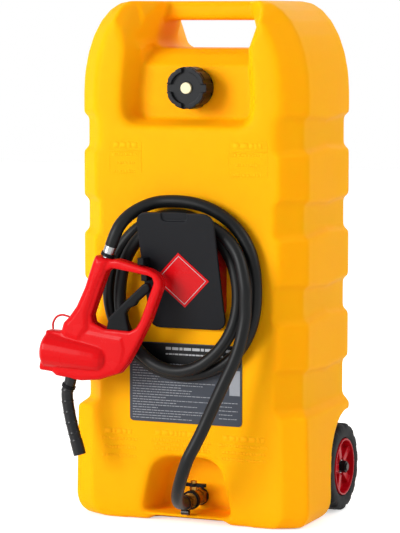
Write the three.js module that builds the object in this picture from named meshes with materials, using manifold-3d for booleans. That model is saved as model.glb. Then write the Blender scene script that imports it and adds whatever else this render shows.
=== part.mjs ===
// Fuel caddy: a wheeled 57 litre blow-moulded tank with a dispensing hose and nozzle.
// Millimetres, +Z up, X to the right seen from the front, the front face towards -Y.
// The origin is the centre of the tank's base, on the floor.

import * as THREE from 'three';
import Module from 'manifold-3d';
import { ConvexGeometry } from 'three/addons/geometries/ConvexGeometry.js';
import { mergeVertices } from 'three/addons/utils/BufferGeometryUtils.js';

const wasm = await Module();
wasm.setup();

// Clearances that all pieces share
const SEAT = 0.3;
const RUNNING = 0.4;
const OVERRUN = 6;
const WELD = 0.001;
// Rounded edges: place and depth of their middle step as a share, and the sharpest corner's mitre
const EDGE_MID = 0.29;
const BEVEL_LIMIT = 0.5;

// Tank
const TANK = {
  height: 838, width: 390, depth: 268, corner: 37, wall: 4.5,
  shoulderAcross: 83, shoulderDown: 148, shoulderSteps: 7, crown: 12,
};
const GROOVE = { count: 4, down: 211, opening: 66.5, depth: 9, slope: 8, draft: 8.3 };
const BASE = {
  top: 192, step: 12, flare: 5, footFlare: 8, cornerFront: 20, cornerBack: 44,
  footAcross: 26, footUp: 34, toe: 12, footSteps: 4,
};
const CAVITY = { floor: 14, footInset: 18, footUp: 46 };
const RECESS = {
  down: 199.5, half: 114, neckHalf: 107, mouthHalf: 138, radius: 28, floorRadius: 14, deep: 43, draft: 18,
  mouthDraft: 34, sillDraft: 11.5,
};
const GRIP = {
  down: 76, footHalf: 106, midHalf: 93, mouthHalf: 134, mouthMidHalf: 72, beside: 12, radius: 16, ridge: 27,
  ridgeRun: 42,
};
const BAR = { tall: 31, thick: 64, round: 11, half: 140 };
const ARCH = {
  half: 78, headHalf: 58, head: 109, radius: 40, deep: 62, draft: 12, sill: 14, under: 8, lip: 40,
};

// Filler neck, cap and vent
const NECK = { down: 138, outer: 25, bore: 20, proud: 30, flange: 31, flangeThick: 3, spigot: 23.5 };
const CAP = {
  outer: 34, skirt: 29, crown: 5, flutes: 10, fluteRadius: 5, rim: 33, rimWall: 7.5, rimDeep: 6, slot: 6.3,
};
const GASKET = { thick: 3 };
const VENT = { radius: 9, proud: 4, flange: 11.5, flangeThick: 2, stroke: 3, seat: 12.5, pocket: 9 };
const VENT_SPRING = { outer: 8, inner: 6.5 };

// Hose holder
const HOLDER = { x: 7, lean: 17.5, foot: 317, footOut: 7 };
const PLATE = {
  width: 131, height: 198, thick: 5, radius: 17, notchWidth: 44, notchDeep: 14, notchCut: 3.4,
};
const CORE = { half: 64, foot: 338, solidFoot: 52, arc: 66, crown: 470, radius: 14, wall: 3.5, arcSteps: 8 };
const TILE = { half: 47, thick: 0.8, above: 85 };
const LABEL = { width: 194, height: 129, z: 228, thick: 1, radius: 6 };
const SCREW = { shank: 2.4, length: 15, head: 4.6, headThick: 2.6, sides: 12 };
const HOLDER_SCREW = { across: 36, z: 352, boss: 8, bossDeep: 18 };
const CLIP = { across: 10, inboard: 8.5, jaw: 11, reach: 30 };

// Hose
const HOSE = {
  diameter: 20, runSides: 8, runSteps: 21, coilSides: 6, stepsPerLoop: 24, bend: 90, bendSteps: 5, lead: 8,
};
const COIL = { z: 380 };

// Outlet valve, its axis along Y
const VALVE = {
  z: 35, bushing: 11, bushingFlange: 15, bushingThick: 11, bore: 6, seal: 2, body: 12,
  bodyLong: 30, ball: 9, ballClear: 0.4, seatOuter: 8.5, seatInner: 6.2, seatThick: 2.4,
  stem: 3, boss: 6.5, bossTall: 15, collar: 15.5, collarThick: 6.6, nutThick: 7, nut: 16,
};
const HANDLE = { long: 44, wide: 10, thick: 5, gland: 6.5, glandTall: 5, nut: 4.6, nutTall: 4 };
// Roundness of the handle's ends and its narrow middle, as shares of half its width
const WING_SHARES = { tip: 0.83, waist: 0.6 };
const BARB = { shoulder: 9.5, long: 11 };
const CLAMP = { inner: 10.7, outer: 11.9, wide: 9, from: 3, housing: 4.4, housingLong: 13 };

// Wheels and axle, the axle along X
const WHEEL = {
  radius: 72, width: 38, y: 76, out: 3, rim: 47, bead: 3, hub: 15, hubInset: 9, bush: 8.5,
  web: 6, webInset: 14, spokes: 5, spokeTurn: 0.23, spokeWide: 12, spokeDeep: 8, treads: 15, treadDeep: 2.4,
};
// Tyre's shoulder, tread edge and notch length, as shares of its bead
const TYRE_SHARES = { shoulder: 2.5, edge: 1.5, notch: 3.4 };
const AXLE = { radius: 6, washer: 11, washerThick: 1.5, nut: 10, nutLong: 9, proud: 3 };
const WELL = { y: 85, z: 72, along: 88, up: 96, deep: 46, arcSteps: 8 };

// Nozzle: its outline lies upright, ahead of the tank's face, and laps the holder's plate; places are
// shares of its width and height
const NOZZLE = {
  ahead: 58, lap: 45.5, foot: 233, across: 215, tall: 203, guard: 24, grip: 32, belly: 27, edge: 4.5,
};
const BARREL = { big: 30, small: 24, dome: 22, round: 6 };
const BARREL_SHARES = [[0.0349, 0.2389], [0.4721, 0.1823]];
const INLET = { ferrule: 9.5, ferruleLong: 12, collar: 11.5, collarLong: 5.5, bore: 7 };
const INLET_SHARES = [[0.5674, 1.0443], [0.269, 0.25]];
const NOZZLE_CORE = {
  duct: 6.5, ductBore: 4.6, chamber: 19, chamberBore: 14.5, from: 12, short: 10.7, end: 4, outlet: 8.6,
  outletBore: 6.5,
};
const POPPET = { radius: 13.6, thick: 8, stem: 3, stemLong: 18, before: 38, stroke: 4 };
const POPPET_SPRING = { outer: 12.4, inner: 10.4 };
const LEVER = { hub: 10, thick: 12, pin: 2.4, pinLong: 17, slotLeft: 30, slotRight: 34, slotUp: 30 };
const PIVOT_SHARE = [0.6, 0.3547];
const SPOUT = {
  radius: 9.5, bore: 7, boreDeep: 60, ribs: 4, ribFirst: 36, ribPitch: 17.5, rib: 1, ribLong: 2.4, steps: 9,
};
const SPOUT_GLAND = { radius: 11.4, from: 27.5, long: 5 };
const HANG_LOOP = { radius: 1.7, sides: 8, steps: 10 };
const NOZZLE_SCREW = { head: 3.6, headThick: 2, shank: 1.6, length: 12, sink: 1.5, sides: 8 };

// Outline of the nozzle's cover, as shares of its width and height from its lower left corner
const COVER_SHARES = [
  [0.47, 1], [0.605, 0.97], [0.647, 0.975], [0.902, 0.906], [0.965, 0.872], [1, 0.818], [1, 0.768],
  [0.907, 0.507], [0.809, 0.31], [0.726, 0.158], [0.66, 0.074], [0.493, 0.015], [0.344, 0],
  [0.14, 0.03], [0.107, 0.059], [0.005, 0.069], [0, 0.094], [0.06, 0.389], [0.186, 0.389],
  [0.205, 0.458], [0.246, 0.498], [0.312, 0.591], [0.381, 0.744], [0.447, 0.946],
];
const WINDOW_SHARES = [
  [0.605, 0.901], [0.893, 0.852], [0.925, 0.836], [0.935, 0.798], [0.828, 0.502], [0.793, 0.443],
  [0.744, 0.414], [0.544, 0.424], [0.447, 0.468], [0.437, 0.527], [0.53, 0.793], [0.563, 0.877],
];
const GRIP_SHARES = [
  [0.47, 1], [0.585, 0.97], [0.545, 0.86], [0.51, 0.79], [0.42, 0.54], [0.42, 0.42], [0.34, 0.3],
  [0.2, 0.36], [0.21, 0.458], [0.25, 0.498], [0.318, 0.591], [0.387, 0.744], [0.45, 0.946],
];
const BELLY_SHARES = [
  [0.03, 0.09], [0.12, 0.075], [0.15, 0.035], [0.344, 0.006], [0.493, 0.02], [0.645, 0.075], [0.7, 0.16],
  [0.72, 0.27], [0.7, 0.37], [0.54, 0.39], [0.42, 0.41], [0.3, 0.41], [0.2, 0.38], [0.07, 0.37],
];
// Outline of the lever with its finger waves, as shares of the cover's width and height from its pivot
const LEVER_SHARES = [
  [-0.052, 0.068], [-0.035, 0.151], [0.023, 0.219], [0.111, 0.302], [0.235, 0.424], [0.26, 0.44],
  [0.285, 0.435], [0.3, 0.4], [0.29, 0.372], [0.253, 0.343], [0.201, 0.296], [0.179, 0.259],
  [0.127, 0.234], [0.104, 0.197],
  [0.113, 0.132], [0.13, 0.06], [0.1, -0.01], [0.04, -0.04], [-0.02, -0.04], [-0.05, 0],
];
// Routes of the spout and of the hang loop, as shares of the cover's width and height
const SPOUT_SHARES = [[0.255, 0.09], [0.24, -0.015], [0.214, -0.1], [0.234, -0.28], [0.316, -0.598]];
const LOOP_SHARES = [[0.1, 0.394], [0.1, 0.44], [0.127, 0.49], [0.172, 0.51], [0.233, 0.5]];
// Places of the cover's screws, as shares of its width and height
const SCREW_SHARES = [[0.655, 0.115], [0.955, 0.8], [0.03, 0.12]];

// Coil stations, one each eighth of a turn from the right: distance from the coil's centre, and distance
// ahead of the tank's face
const COIL_STATIONS = [
  [118, 41], [118, 27.3], [114, 31.8], [106.5, 25.2], [104, 22.5], [117, 27.5], [128, 32], [110, 24],
  [96, 16], [99.5, 10.5], [118.5, 10.5], [124, 10.9], [129, 11.4], [133, 12.2], [137, 12.4], [134, 12.6],
  [125, 13], [136.5, 13.4], [141.5, 20],
];
// Route of the hose's lower run after its first bend, chosen by hand: across, ahead of the tank, height
const RUN_ROUTE = [
  [50.9, 89, 141.7], [62.6, 84.5, 167], [72.1, 78.5, 191.6], [81.1, 71.5, 215.6], [93.7, 63, 247.5],
  [105.8, 54.5, 278.6], [112.5, 48, 305], [118, 41, 345],
];
// The bend at the valve leans sideways: the lean's final slope, and the stretch in which it builds up
const RUN_LEAN_SHARE = 0.42;
const RUN_LEAN_RAMP = 80;
const RUN_END = [118, 41, 369];
// Last stretch of the hose, over the plate's corner to the nozzle, chosen by hand in the same way
const COIL_END_ROUTE = [[-39, 24, 519.5], [-61, 33, 511.5], [-79, 43.5, 499], [-90, 53, 484.5]];

// Materials
function finish(colour, roughness, metalness) {
  return new THREE.MeshStandardMaterial({ color: colour, roughness, metalness });
}
const yellowPe = () => finish(0xfbbd26, 0.45, 0);
const blackPlastic = () => finish(0x202224, 0.5, 0);
const greyLabel = () => finish(0x50555f, 0.5, 0);
const redPlastic = () => finish(0xe81c22, 0.35, 0);
const crimsonPlastic = () => finish(0xb81022, 0.4, 0);
const ivoryPlastic = () => finish(0xe8e0c8, 0.5, 0);
const blackRubber = () => finish(0x2b2d2f, 0.7, 0);
const sealRubber = () => finish(0x18191a, 0.8, 0);
const brass = () => finish(0xb08a4a, 0.3, 1);
const steel = () => finish(0xc4c6c8, 0.3, 1);
const aluminium = () => finish(0xb8babd, 0.4, 1);
const ptfe = () => finish(0xf0f0ec, 0.5, 0);

const caddy = new THREE.Group();

// Closed mesh to solid, turned right side out
function solid(geometry) {
  const bare = geometry.clone();
  bare.deleteAttribute('normal');
  bare.deleteAttribute('uv');
  const merged = mergeVertices(bare, WELD);
  const at = merged.attributes.position;
  const corner = (i) => new THREE.Vector3().fromBufferAttribute(at, i);
  const kept = [];
  let volume = 0;
  for (let i = 0; i < merged.index.count; i += 3) {
    const [a, b, c] = [merged.index.getX(i), merged.index.getX(i + 1), merged.index.getX(i + 2)];
    if (a !== b && b !== c && c !== a) {
      kept.push([a, b, c]);
      volume += corner(a).dot(corner(b).cross(corner(c)));
    }
  }
  const triVerts = new Uint32Array(kept.flatMap(([a, b, c]) => (volume < 0 ? [a, c, b] : [a, b, c])));
  const vertProperties = new Float32Array(at.array);
  return new wasm.Manifold(new wasm.Mesh({ numProp: 3, vertProperties, triVerts }));
}

function geometryOf(body) {
  const mesh = body.getMesh();
  const geometry = new THREE.BufferGeometry();
  geometry.setAttribute('position', new THREE.BufferAttribute(new Float32Array(mesh.vertProperties), 3));
  geometry.setIndex(new THREE.BufferAttribute(new Uint32Array(mesh.triVerts), 1));
  geometry.computeVertexNormals();
  return geometry;
}

function add(name, body, material) {
  const mesh = new THREE.Mesh(geometryOf(body), material);
  mesh.name = name;
  caddy.add(mesh);
}

const joined = (bodies) => bodies.reduce((all, body) => all.add(body));

// Solid through a row of rings with equal counts of points, capped at both ends
function loft(rings) {
  const count = rings[0].length;
  const positions = rings.flat().flatMap((p) => [p.x, p.y, p.z]);
  const index = [];
  for (let r = 0; r + 1 < rings.length; r += 1) {
    for (let i = 0; i < count; i += 1) {
      const [a, b] = [r * count + i, r * count + ((i + 1) % count)];
      index.push(a, b, b + count, a, b + count, a + count);
    }
  }
  cap(rings[0]).forEach(([a, b, c]) => index.push(a, c, b));
  const last = (rings.length - 1) * count;
  cap(rings[rings.length - 1]).forEach(([a, b, c]) => index.push(last + a, last + b, last + c));
  const geometry = new THREE.BufferGeometry();
  geometry.setAttribute('position', new THREE.Float32BufferAttribute(positions, 3));
  geometry.setIndex(index);
  return solid(geometry);
}

// Triangles of a flat ring, wound the way that the ring runs
function cap(ring) {
  const normal = new THREE.Vector3();
  ring.forEach((p, i) => normal.add(p.clone().cross(ring[(i + 1) % ring.length])));
  const size = normal.clone().set(Math.abs(normal.x), Math.abs(normal.y), Math.abs(normal.z));
  const widest = Math.max(size.x, size.y, size.z);
  const flat = ring.map((p) => {
    if (size.z === widest) return new THREE.Vector2(p.x, p.y);
    return size.y === widest ? new THREE.Vector2(p.z, p.x) : new THREE.Vector2(p.y, p.z);
  });
  const turn = Math.sign(THREE.ShapeUtils.area(flat));
  return THREE.ShapeUtils.triangulateShape(flat, []).map(([a, b, c]) => {
    const same = Math.sign(THREE.ShapeUtils.area([flat[a], flat[b], flat[c]])) === turn;
    return same ? [a, b, c] : [a, c, b];
  });
}

// Outline with rounded corners: each corner is [across, up, radius]
function rounded(corners, steps = 4) {
  const points = [];
  corners.forEach(([x, y, radius = 0], i) => {
    const here = new THREE.Vector2(x, y);
    if (radius === 0) {
      points.push(here);
      return;
    }
    const before = corners[(i + corners.length - 1) % corners.length];
    const after = corners[(i + 1) % corners.length];
    const to = new THREE.Vector2(before[0] - x, before[1] - y).normalize();
    const from = new THREE.Vector2(after[0] - x, after[1] - y).normalize();
    const half = Math.acos(THREE.MathUtils.clamp(to.dot(from), -1, 1)) / 2;
    const centre = here.clone().addScaledVector(to.clone().add(from).normalize(), radius / Math.sin(half));
    const start = here.clone().addScaledVector(to, radius / Math.tan(half)).sub(centre);
    const end = here.clone().addScaledVector(from, radius / Math.tan(half)).sub(centre);
    let sweep = end.angle() - start.angle();
    if (sweep > Math.PI) sweep -= 2 * Math.PI;
    if (sweep < -Math.PI) sweep += 2 * Math.PI;
    for (let k = 0; k <= steps; k += 1) {
      const angle = start.angle() + (sweep * k) / steps;
      points.push(new THREE.Vector2(Math.cos(angle), Math.sin(angle)).multiplyScalar(radius).add(centre));
    }
  });
  return points;
}

const acrossY = (outline, y) => outline.map((p) => new THREE.Vector3(p.x, y, p.y));
const acrossX = (outline, x) => outline.map((p) => new THREE.Vector3(x, p.x, p.y));
const alongY = (outline, from, to) => loft([acrossY(outline, from), acrossY(outline, to)]);
const alongX = (outline, from, to) => loft([acrossX(outline, from), acrossX(outline, to)]);

function block(low, high) {
  const size = high.map((value, i) => value - low[i]);
  const geometry = new THREE.BoxGeometry(...size);
  geometry.translate(...low.map((value, i) => value + size[i] / 2));
  return solid(geometry);
}

// Body of revolution: profile [radius, place along the axis] from a point in a direction
function turned(profile, at, direction, segments = 18, closed = false) {
  const points = profile.map(([radius, along]) => new THREE.Vector2(radius, along));
  if (closed) points.push(points[0].clone());
  const geometry = new THREE.LatheGeometry(points, segments);
  const up = new THREE.Vector3(0, 1, 0);
  geometry.applyQuaternion(new THREE.Quaternion().setFromUnitVectors(up, direction.clone().normalize()));
  geometry.translate(at.x, at.y, at.z);
  return solid(geometry);
}

const rod = (radius, from, to, segments = 18) => {
  const direction = to.clone().sub(from);
  const long = direction.length();
  return turned([[0, 0], [radius, 0], [radius, long], [0, long]], from, direction, segments);
};
const ring = (inner, outer, from, to, segments = 18) => {
  const direction = to.clone().sub(from);
  const long = direction.length();
  return turned([[inner, 0], [outer, 0], [outer, long], [inner, long]], from, direction, segments, true);
};
// Six-sided nut with a round bore
const hexNut = (bore, outer, from, to) => {
  const past = to.clone().sub(from).setLength(OVERRUN);
  return rod(outer, from, to, 6).subtract(rod(bore, from.clone().sub(past), to.clone().add(past), 16));
};
const v = (x, y, z) => new THREE.Vector3(x, y, z);
const alongAxisY = (radius, x, z, from, to, segments) => rod(radius, v(x, from, z), v(x, to, z), segments);
const mirrored = (outline) => [...outline, ...outline.map(([x, z, r]) => [-x, z, r]).reverse()];

// Tank
const front = -TANK.depth / 2;
const back = TANK.depth / 2;
const half = TANK.width / 2;
const gripBottom = TANK.height - GRIP.down;
const recessBottom = TANK.height - RECESS.down;
const neckZ = TANK.height - NECK.down;
const wheelFace = half + WHEEL.out;
const wellInner = half - WELL.deep;
const plateLeft = HOLDER.x - PLATE.width / 2;
const nozzleLeft = plateLeft + NOZZLE.lap - NOZZLE.across;
const grooveFirst = TANK.height - GROOVE.down;
const grooveLast = BASE.top + GROOVE.opening / 2;
const groovePitch = (grooveFirst - grooveLast) / (GROOVE.count - 1);
const nozzleY = front - NOZZLE.ahead;

function frontOutline(halfWidth, foot, drop = 0) {
  const points = [new THREE.Vector2(halfWidth, foot)];
  for (let k = 0; k <= TANK.shoulderSteps; k += 1) {
    const angle = (k / TANK.shoulderSteps) * (Math.PI / 2);
    const x = halfWidth - TANK.shoulderAcross * (1 - Math.cos(angle));
    points.push(new THREE.Vector2(x, TANK.height - drop - TANK.shoulderDown * (1 - Math.sin(angle))));
  }
  return [...points, ...points.map((p) => new THREE.Vector2(-p.x, p.y)).reverse()];
}

// Upper tank or its inside: shoulders and chamfered corners, lofted from front to back
function shouldered(halfWidth, deep, foot, drop = 0) {
  const full = frontOutline(halfWidth, foot, drop);
  const shoulder = TANK.height - TANK.shoulderDown;
  const face = full.map((p) => {
    const rise = Math.max(0, p.y - shoulder) / TANK.shoulderDown;
    return new THREE.Vector2((p.x * (halfWidth - TANK.corner)) / halfWidth, p.y - TANK.crown * rise);
  });
  const straight = TANK.depth / 2 - TANK.corner;
  return loft([acrossY(face, -deep), acrossY(full, -straight), acrossY(full, straight),
    acrossY(face, deep)]);
}

const tankBody = () => shouldered(half, back, grooveLast);

// One groove round the right side and its corners; side -1 gives the left one
function grooveCut(z, side) {
  const inset = TANK.depth / 2 - TANK.corner;
  const inner = half - GROOVE.depth;
  const spread = GROOVE.slope / GROOVE.depth;
  const station = (y, x) => {
    const draft = GROOVE.draft * (1 - Math.abs(y) / back);
    const floor = GROOVE.opening / 2 - draft - GROOVE.slope;
    const mouth = floor + spread * (GROOVE.depth + OVERRUN);
    const outer = x + GROOVE.depth + OVERRUN;
    return [v(side * x, y, z - floor), v(side * outer, y, z - mouth), v(side * outer, y, z + mouth),
      v(side * x, y, z + floor)];
  };
  const past = OVERRUN;
  return loft([station(front - past, inner - TANK.corner - past), station(-inset, inner), station(0, inner),
    station(inset, inner), station(back + past, inner - TANK.corner - past)]);
}

function tankBase() {
  const level = (z, halfWidth, toe, cornerFront = BASE.cornerFront, cornerBack = BASE.cornerBack) => {
    const x = halfWidth - TANK.corner;
    const [near, far] = [front + toe, back - toe];
    return [v(x, near, z), v(halfWidth, near + cornerFront, z), v(halfWidth, far - cornerBack, z),
      v(x, far, z), v(-x, far, z), v(-halfWidth, far - cornerBack, z),
      v(-halfWidth, near + cornerFront, z), v(-x, near, z)];
  };
  const foot = half + BASE.footFlare;
  const rings = [];
  for (let k = 0; k <= BASE.footSteps; k += 1) {
    const angle = (k / BASE.footSteps) * (Math.PI / 2);
    rings.push(level(BASE.footUp * (1 - Math.cos(angle)), foot - BASE.footAcross * (1 - Math.sin(angle)),
      BASE.toe * (1 - Math.sin(angle))));
  }
  rings.push(level(BASE.top - BASE.step, half + BASE.flare, 0));
  const waist = half - GROOVE.depth;
  rings.push(level(BASE.top, waist, 0, TANK.corner, TANK.corner));
  rings.push(level(grooveLast + OVERRUN, waist, 0, TANK.corner, TANK.corner));
  return loft(rings);
}

// Front recess for the filler, open at the top; grow widens it into the tank's wall
function recessCut(grow) {
  const outline = (inset, mouthInset, sillInset, radius) => rounded(mirrored([
    [RECESS.mouthHalf - mouthInset, TANK.height + OVERRUN],
    [RECESS.neckHalf - inset, gripBottom],
    [RECESS.half - inset, (gripBottom + recessBottom) / 2],
    [RECESS.half - inset, recessBottom + sillInset, radius],
  ]));
  const out = -OVERRUN / RECESS.deep;
  return loft([
    acrossY(outline(out * RECESS.draft - grow, out * RECESS.mouthDraft - grow, out * RECESS.sillDraft - grow,
      RECESS.radius), front - OVERRUN),
    acrossY(outline(RECESS.draft - grow, RECESS.mouthDraft - grow, RECESS.sillDraft - grow,
      RECESS.floorRadius), front + RECESS.deep + grow),
  ]);
}

// Hand hole between the two posts, which swell towards the bar, and the soft edges of its sill
function gripCut(grow) {
  const outline = (footHalf, mouthHalf) => rounded(mirrored([
    [mouthHalf + grow, TANK.height + OVERRUN],
    [footHalf + grow, gripBottom - grow, GRIP.radius],
  ]));
  const wide = outline(GRIP.footHalf, GRIP.mouthHalf);
  const narrow = outline(GRIP.midHalf, GRIP.mouthMidHalf);
  const swell = BAR.thick / 2 + GRIP.beside;
  const hole = loft([acrossY(wide, front - OVERRUN), acrossY(narrow, -swell), acrossY(narrow, swell),
    acrossY(wide, back + OVERRUN)]);
  const edge = (face, inward) => {
    const level = gripBottom - grow;
    const sill = [[face - inward * OVERRUN, level - GRIP.ridge], [face, level - GRIP.ridge],
      [face + (inward * GRIP.ridgeRun) / 2, level - GRIP.ridge / 3], [face + inward * GRIP.ridgeRun, level],
      [face + inward * GRIP.ridgeRun, level + OVERRUN], [face - inward * OVERRUN, level + OVERRUN]];
    const points = sill.map(([y, z]) => new THREE.Vector2(y, z));
    return alongX(points, -GRIP.midHalf - grow, GRIP.midHalf + grow);
  };
  return joined([hole, edge(front + RECESS.deep + grow, 1), edge(back - grow, -1)]);
}

function handleBar() {
  const [low, high] = [TANK.height - BAR.tall, TANK.height];
  const outline = rounded([[-BAR.thick / 2, low, BAR.round], [BAR.thick / 2, low, BAR.round],
    [BAR.thick / 2, high, BAR.round], [-BAR.thick / 2, high, BAR.round]], 3);
  return alongX(outline, -BAR.half, BAR.half).intersect(tankBody());
}

function archCut(grow) {
  const outline = (inset, radius) => rounded(mirrored([
    [ARCH.half - inset, ARCH.sill - grow],
    [ARCH.headHalf - inset, ARCH.head - inset, radius],
  ]));
  const out = (-OVERRUN * ARCH.draft) / ARCH.deep;
  return loft([acrossY(outline(out - grow, ARCH.radius), front - OVERRUN),
    acrossY(outline(ARCH.draft - grow, ARCH.radius - ARCH.draft), front + ARCH.deep + grow)]);
}

function wellCut(side, grow) {
  const points = [new THREE.Vector2(WELL.y - WELL.along - grow, -OVERRUN)];
  for (let k = 0; k <= WELL.arcSteps; k += 1) {
    const angle = (k / WELL.arcSteps) * (Math.PI / 2);
    points.push(new THREE.Vector2(WELL.y - (WELL.along + grow) * Math.cos(angle),
      WELL.z + (WELL.up + grow) * Math.sin(angle)));
  }
  points.push(new THREE.Vector2(back + OVERRUN, WELL.z + WELL.up + grow));
  points.push(new THREE.Vector2(back + OVERRUN, -OVERRUN));
  return alongX(points, side * (wellInner - grow), side * (half + BASE.footFlare + OVERRUN));
}

function tankCavity() {
  const level = (z, inset) => {
    const wide = half - GROOVE.depth - TANK.wall - inset;
    const deep = back - TANK.wall - inset;
    const x = wide - TANK.corner;
    const y = deep - TANK.corner;
    return [v(x, -deep, z), v(wide, -y, z), v(wide, y, z), v(x, deep, z), v(-x, deep, z), v(-wide, y, z),
      v(-wide, -y, z), v(-x, -deep, z)];
  };
  const footed = loft([level(CAVITY.floor, CAVITY.footInset), level(CAVITY.footUp, 0),
    level(TANK.height, 0)]);
  const waist = half - GROOVE.depth - TANK.wall;
  const room = footed.intersect(shouldered(waist, back - TANK.wall, 0, TANK.wall + SEAT));
  const walls = [recessCut(TANK.wall), gripCut(TANK.wall), archCut(TANK.wall), wellCut(1, TANK.wall),
    wellCut(-1, TANK.wall), axleBore(TANK.wall)];
  [-1, 1].forEach((side) => {
    const x = HOLDER.x + (side * HOLDER_SCREW.across) / 2;
    const end = front + HOLDER_SCREW.bossDeep;
    walls.push(alongAxisY(HOLDER_SCREW.boss, x, HOLDER_SCREW.z, front, end, SCREW.sides));
  });
  return room.subtract(joined(walls));
}

function axleBore(grow) {
  const radius = AXLE.radius + SEAT + grow;
  return rod(radius, v(-half, WHEEL.y, WHEEL.radius), v(half, WHEEL.y, WHEEL.radius));
}

const recessFloor = front + RECESS.deep;
const archBack = front + ARCH.deep;

function makeTank() {
  const grooves = [];
  for (let i = 0; i < GROOVE.count; i += 1) {
    const z = grooveFirst - i * groovePitch;
    grooves.push(grooveCut(z, 1), grooveCut(z, -1));
  }
  const outside = tankBody().subtract(joined(grooves)).add(tankBase());
  const under = block([-ARCH.half + ARCH.draft, front - OVERRUN, -OVERRUN],
    [ARCH.half - ARCH.draft, front + ARCH.lip, ARCH.under]);
  const cuts = [recessCut(0), gripCut(0), archCut(0), wellCut(1, 0), wellCut(-1, 0), axleBore(0), under,
    alongAxisY(NECK.spigot + SEAT, 0, neckZ, recessFloor - OVERRUN, recessFloor + TANK.wall + OVERRUN, 28),
    alongAxisY(VALVE.bushing + SEAT, 0, VALVE.z, archBack - OVERRUN, archBack + TANK.wall + OVERRUN)];
  [-1, 1].forEach((side) => {
    const x = HOLDER.x + (side * HOLDER_SCREW.across) / 2;
    cuts.push(alongAxisY(SCREW.shank + SEAT, x, HOLDER_SCREW.z, front - OVERRUN, front + SCREW.length - SEAT,
      SCREW.sides));
  });
  const skin = outside.subtract(joined(cuts)).add(handleBar());
  add('tank', skin.subtract(tankCavity()), yellowPe());
}

// Filler neck, cap, gasket and vent
function makeFiller() {
  const seatFace = recessFloor - SEAT;
  const mouth = recessFloor - NECK.proud;
  const inside = recessFloor + TANK.wall + SEAT;
  const neck = turned([[NECK.bore, 0], [NECK.outer, 0], [NECK.outer, NECK.proud - SEAT - NECK.flangeThick],
    [NECK.flange, NECK.proud - SEAT - NECK.flangeThick], [NECK.flange, NECK.proud - SEAT],
    [NECK.spigot, NECK.proud - SEAT], [NECK.spigot, inside - mouth], [NECK.bore, inside - mouth]],
  v(0, mouth, neckZ), v(0, 1, 0), 28, true);
  add('filler_neck', neck, blackPlastic());

  const gasketFace = mouth - SEAT;
  const gasketBack = gasketFace - GASKET.thick;
  add('cap_gasket', ring(NECK.bore, NECK.outer, v(0, gasketBack, neckZ), v(0, gasketFace, neckZ), 28),
    sealRubber());

  const crownBack = gasketBack - SEAT;
  const crownFront = crownBack - CAP.crown;
  const skirtEnd = crownFront + CAP.skirt;
  const innerRadius = NECK.outer + RUNNING;
  const hub = VENT.pocket;
  let cap = alongAxisY(CAP.outer, 0, neckZ, crownFront, skirtEnd, 30);
  cap = cap.subtract(alongAxisY(innerRadius, 0, neckZ, crownBack, skirtEnd + OVERRUN, 32));
  const rim = ring(CAP.rim - CAP.rimWall, CAP.rim, v(0, crownFront - CAP.rimDeep, neckZ),
    v(0, crownFront + SEAT, neckZ), 30);
  const slotHigh = block([-CAP.slot, crownFront - CAP.rimDeep - OVERRUN, neckZ - CAP.outer],
    [CAP.slot, crownFront, neckZ + CAP.outer]);
  const slotWide = block([-CAP.outer, crownFront - CAP.rimDeep - OVERRUN, neckZ - CAP.slot],
    [CAP.outer, crownFront, neckZ + CAP.slot]);
  cap = cap.add(rim.subtract(slotHigh).subtract(slotWide));
  for (let i = 0; i < CAP.flutes; i += 1) {
    const angle = ((i + 0.5) / CAP.flutes) * 2 * Math.PI;
    const reach = CAP.outer + CAP.fluteRadius / 2;
    cap = cap.subtract(alongAxisY(CAP.fluteRadius, reach * Math.cos(angle), neckZ + reach * Math.sin(angle),
      crownFront - CAP.rimDeep - OVERRUN, seatFace - CAP.crown, 8));
  }
  const tower = ring(VENT_SPRING.inner, VENT.seat, v(0, crownBack - SEAT, neckZ),
    v(0, crownBack + hub, neckZ), 20);
  const well = alongAxisY(VENT.flange + RUNNING, 0, neckZ, crownFront + VENT.flangeThick,
    crownBack + hub - VENT.flangeThick, 20);
  const opening = alongAxisY(VENT.radius + RUNNING, 0, neckZ, crownFront - OVERRUN, crownBack, 20);
  const breather = alongAxisY(VENT_SPRING.inner - VENT.flangeThick, 0, neckZ, crownBack,
    crownBack + hub + OVERRUN, 16);
  cap = cap.add(tower).add(alongAxisY(VENT.seat, 0, neckZ, crownBack + hub - VENT.flangeThick,
    crownBack + hub, 20)).subtract(joined([well, opening, breather]));
  add('filler_cap', cap, blackPlastic());

  const flangeFront = crownFront + VENT.flangeThick + SEAT;
  const flangeBack = flangeFront + VENT.flangeThick;
  const button = alongAxisY(VENT.radius, 0, neckZ, crownFront - VENT.proud, flangeBack, 22);
  add('vent_button', button.add(alongAxisY(VENT.flange, 0, neckZ, flangeFront, flangeBack, 22)),
    ivoryPlastic());
  const springEnd = crownBack + hub - VENT.flangeThick - SEAT;
  add('vent_spring', ring(VENT_SPRING.inner, VENT_SPRING.outer, v(0, flangeBack + VENT.stroke + SEAT, neckZ),
    v(0, springEnd, neckZ)), steel());
}

// Hose holder: the plate leans out, its foot near the tank
const lean = Math.tan(THREE.MathUtils.degToRad(HOLDER.lean));
const leanAngle = THREE.MathUtils.degToRad(HOLDER.lean);
const plateFront = (z) => front - HOLDER.footOut - lean * (z - HOLDER.foot);
const plateBack = (z) => plateFront(z) + PLATE.thick / Math.cos(leanAngle);

// Slab on the leaning plane: outline in [across, up the slope], from one depth to another
function leaning(outline, near, far) {
  const place = (p, deep) => v(HOLDER.x + p.x, front - HOLDER.footOut + deep * Math.cos(leanAngle)
    - p.y * Math.sin(leanAngle), HOLDER.foot + p.y * Math.cos(leanAngle) + deep * Math.sin(leanAngle));
  return loft([outline.map((p) => place(p, near)), outline.map((p) => place(p, far))]);
}

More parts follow.
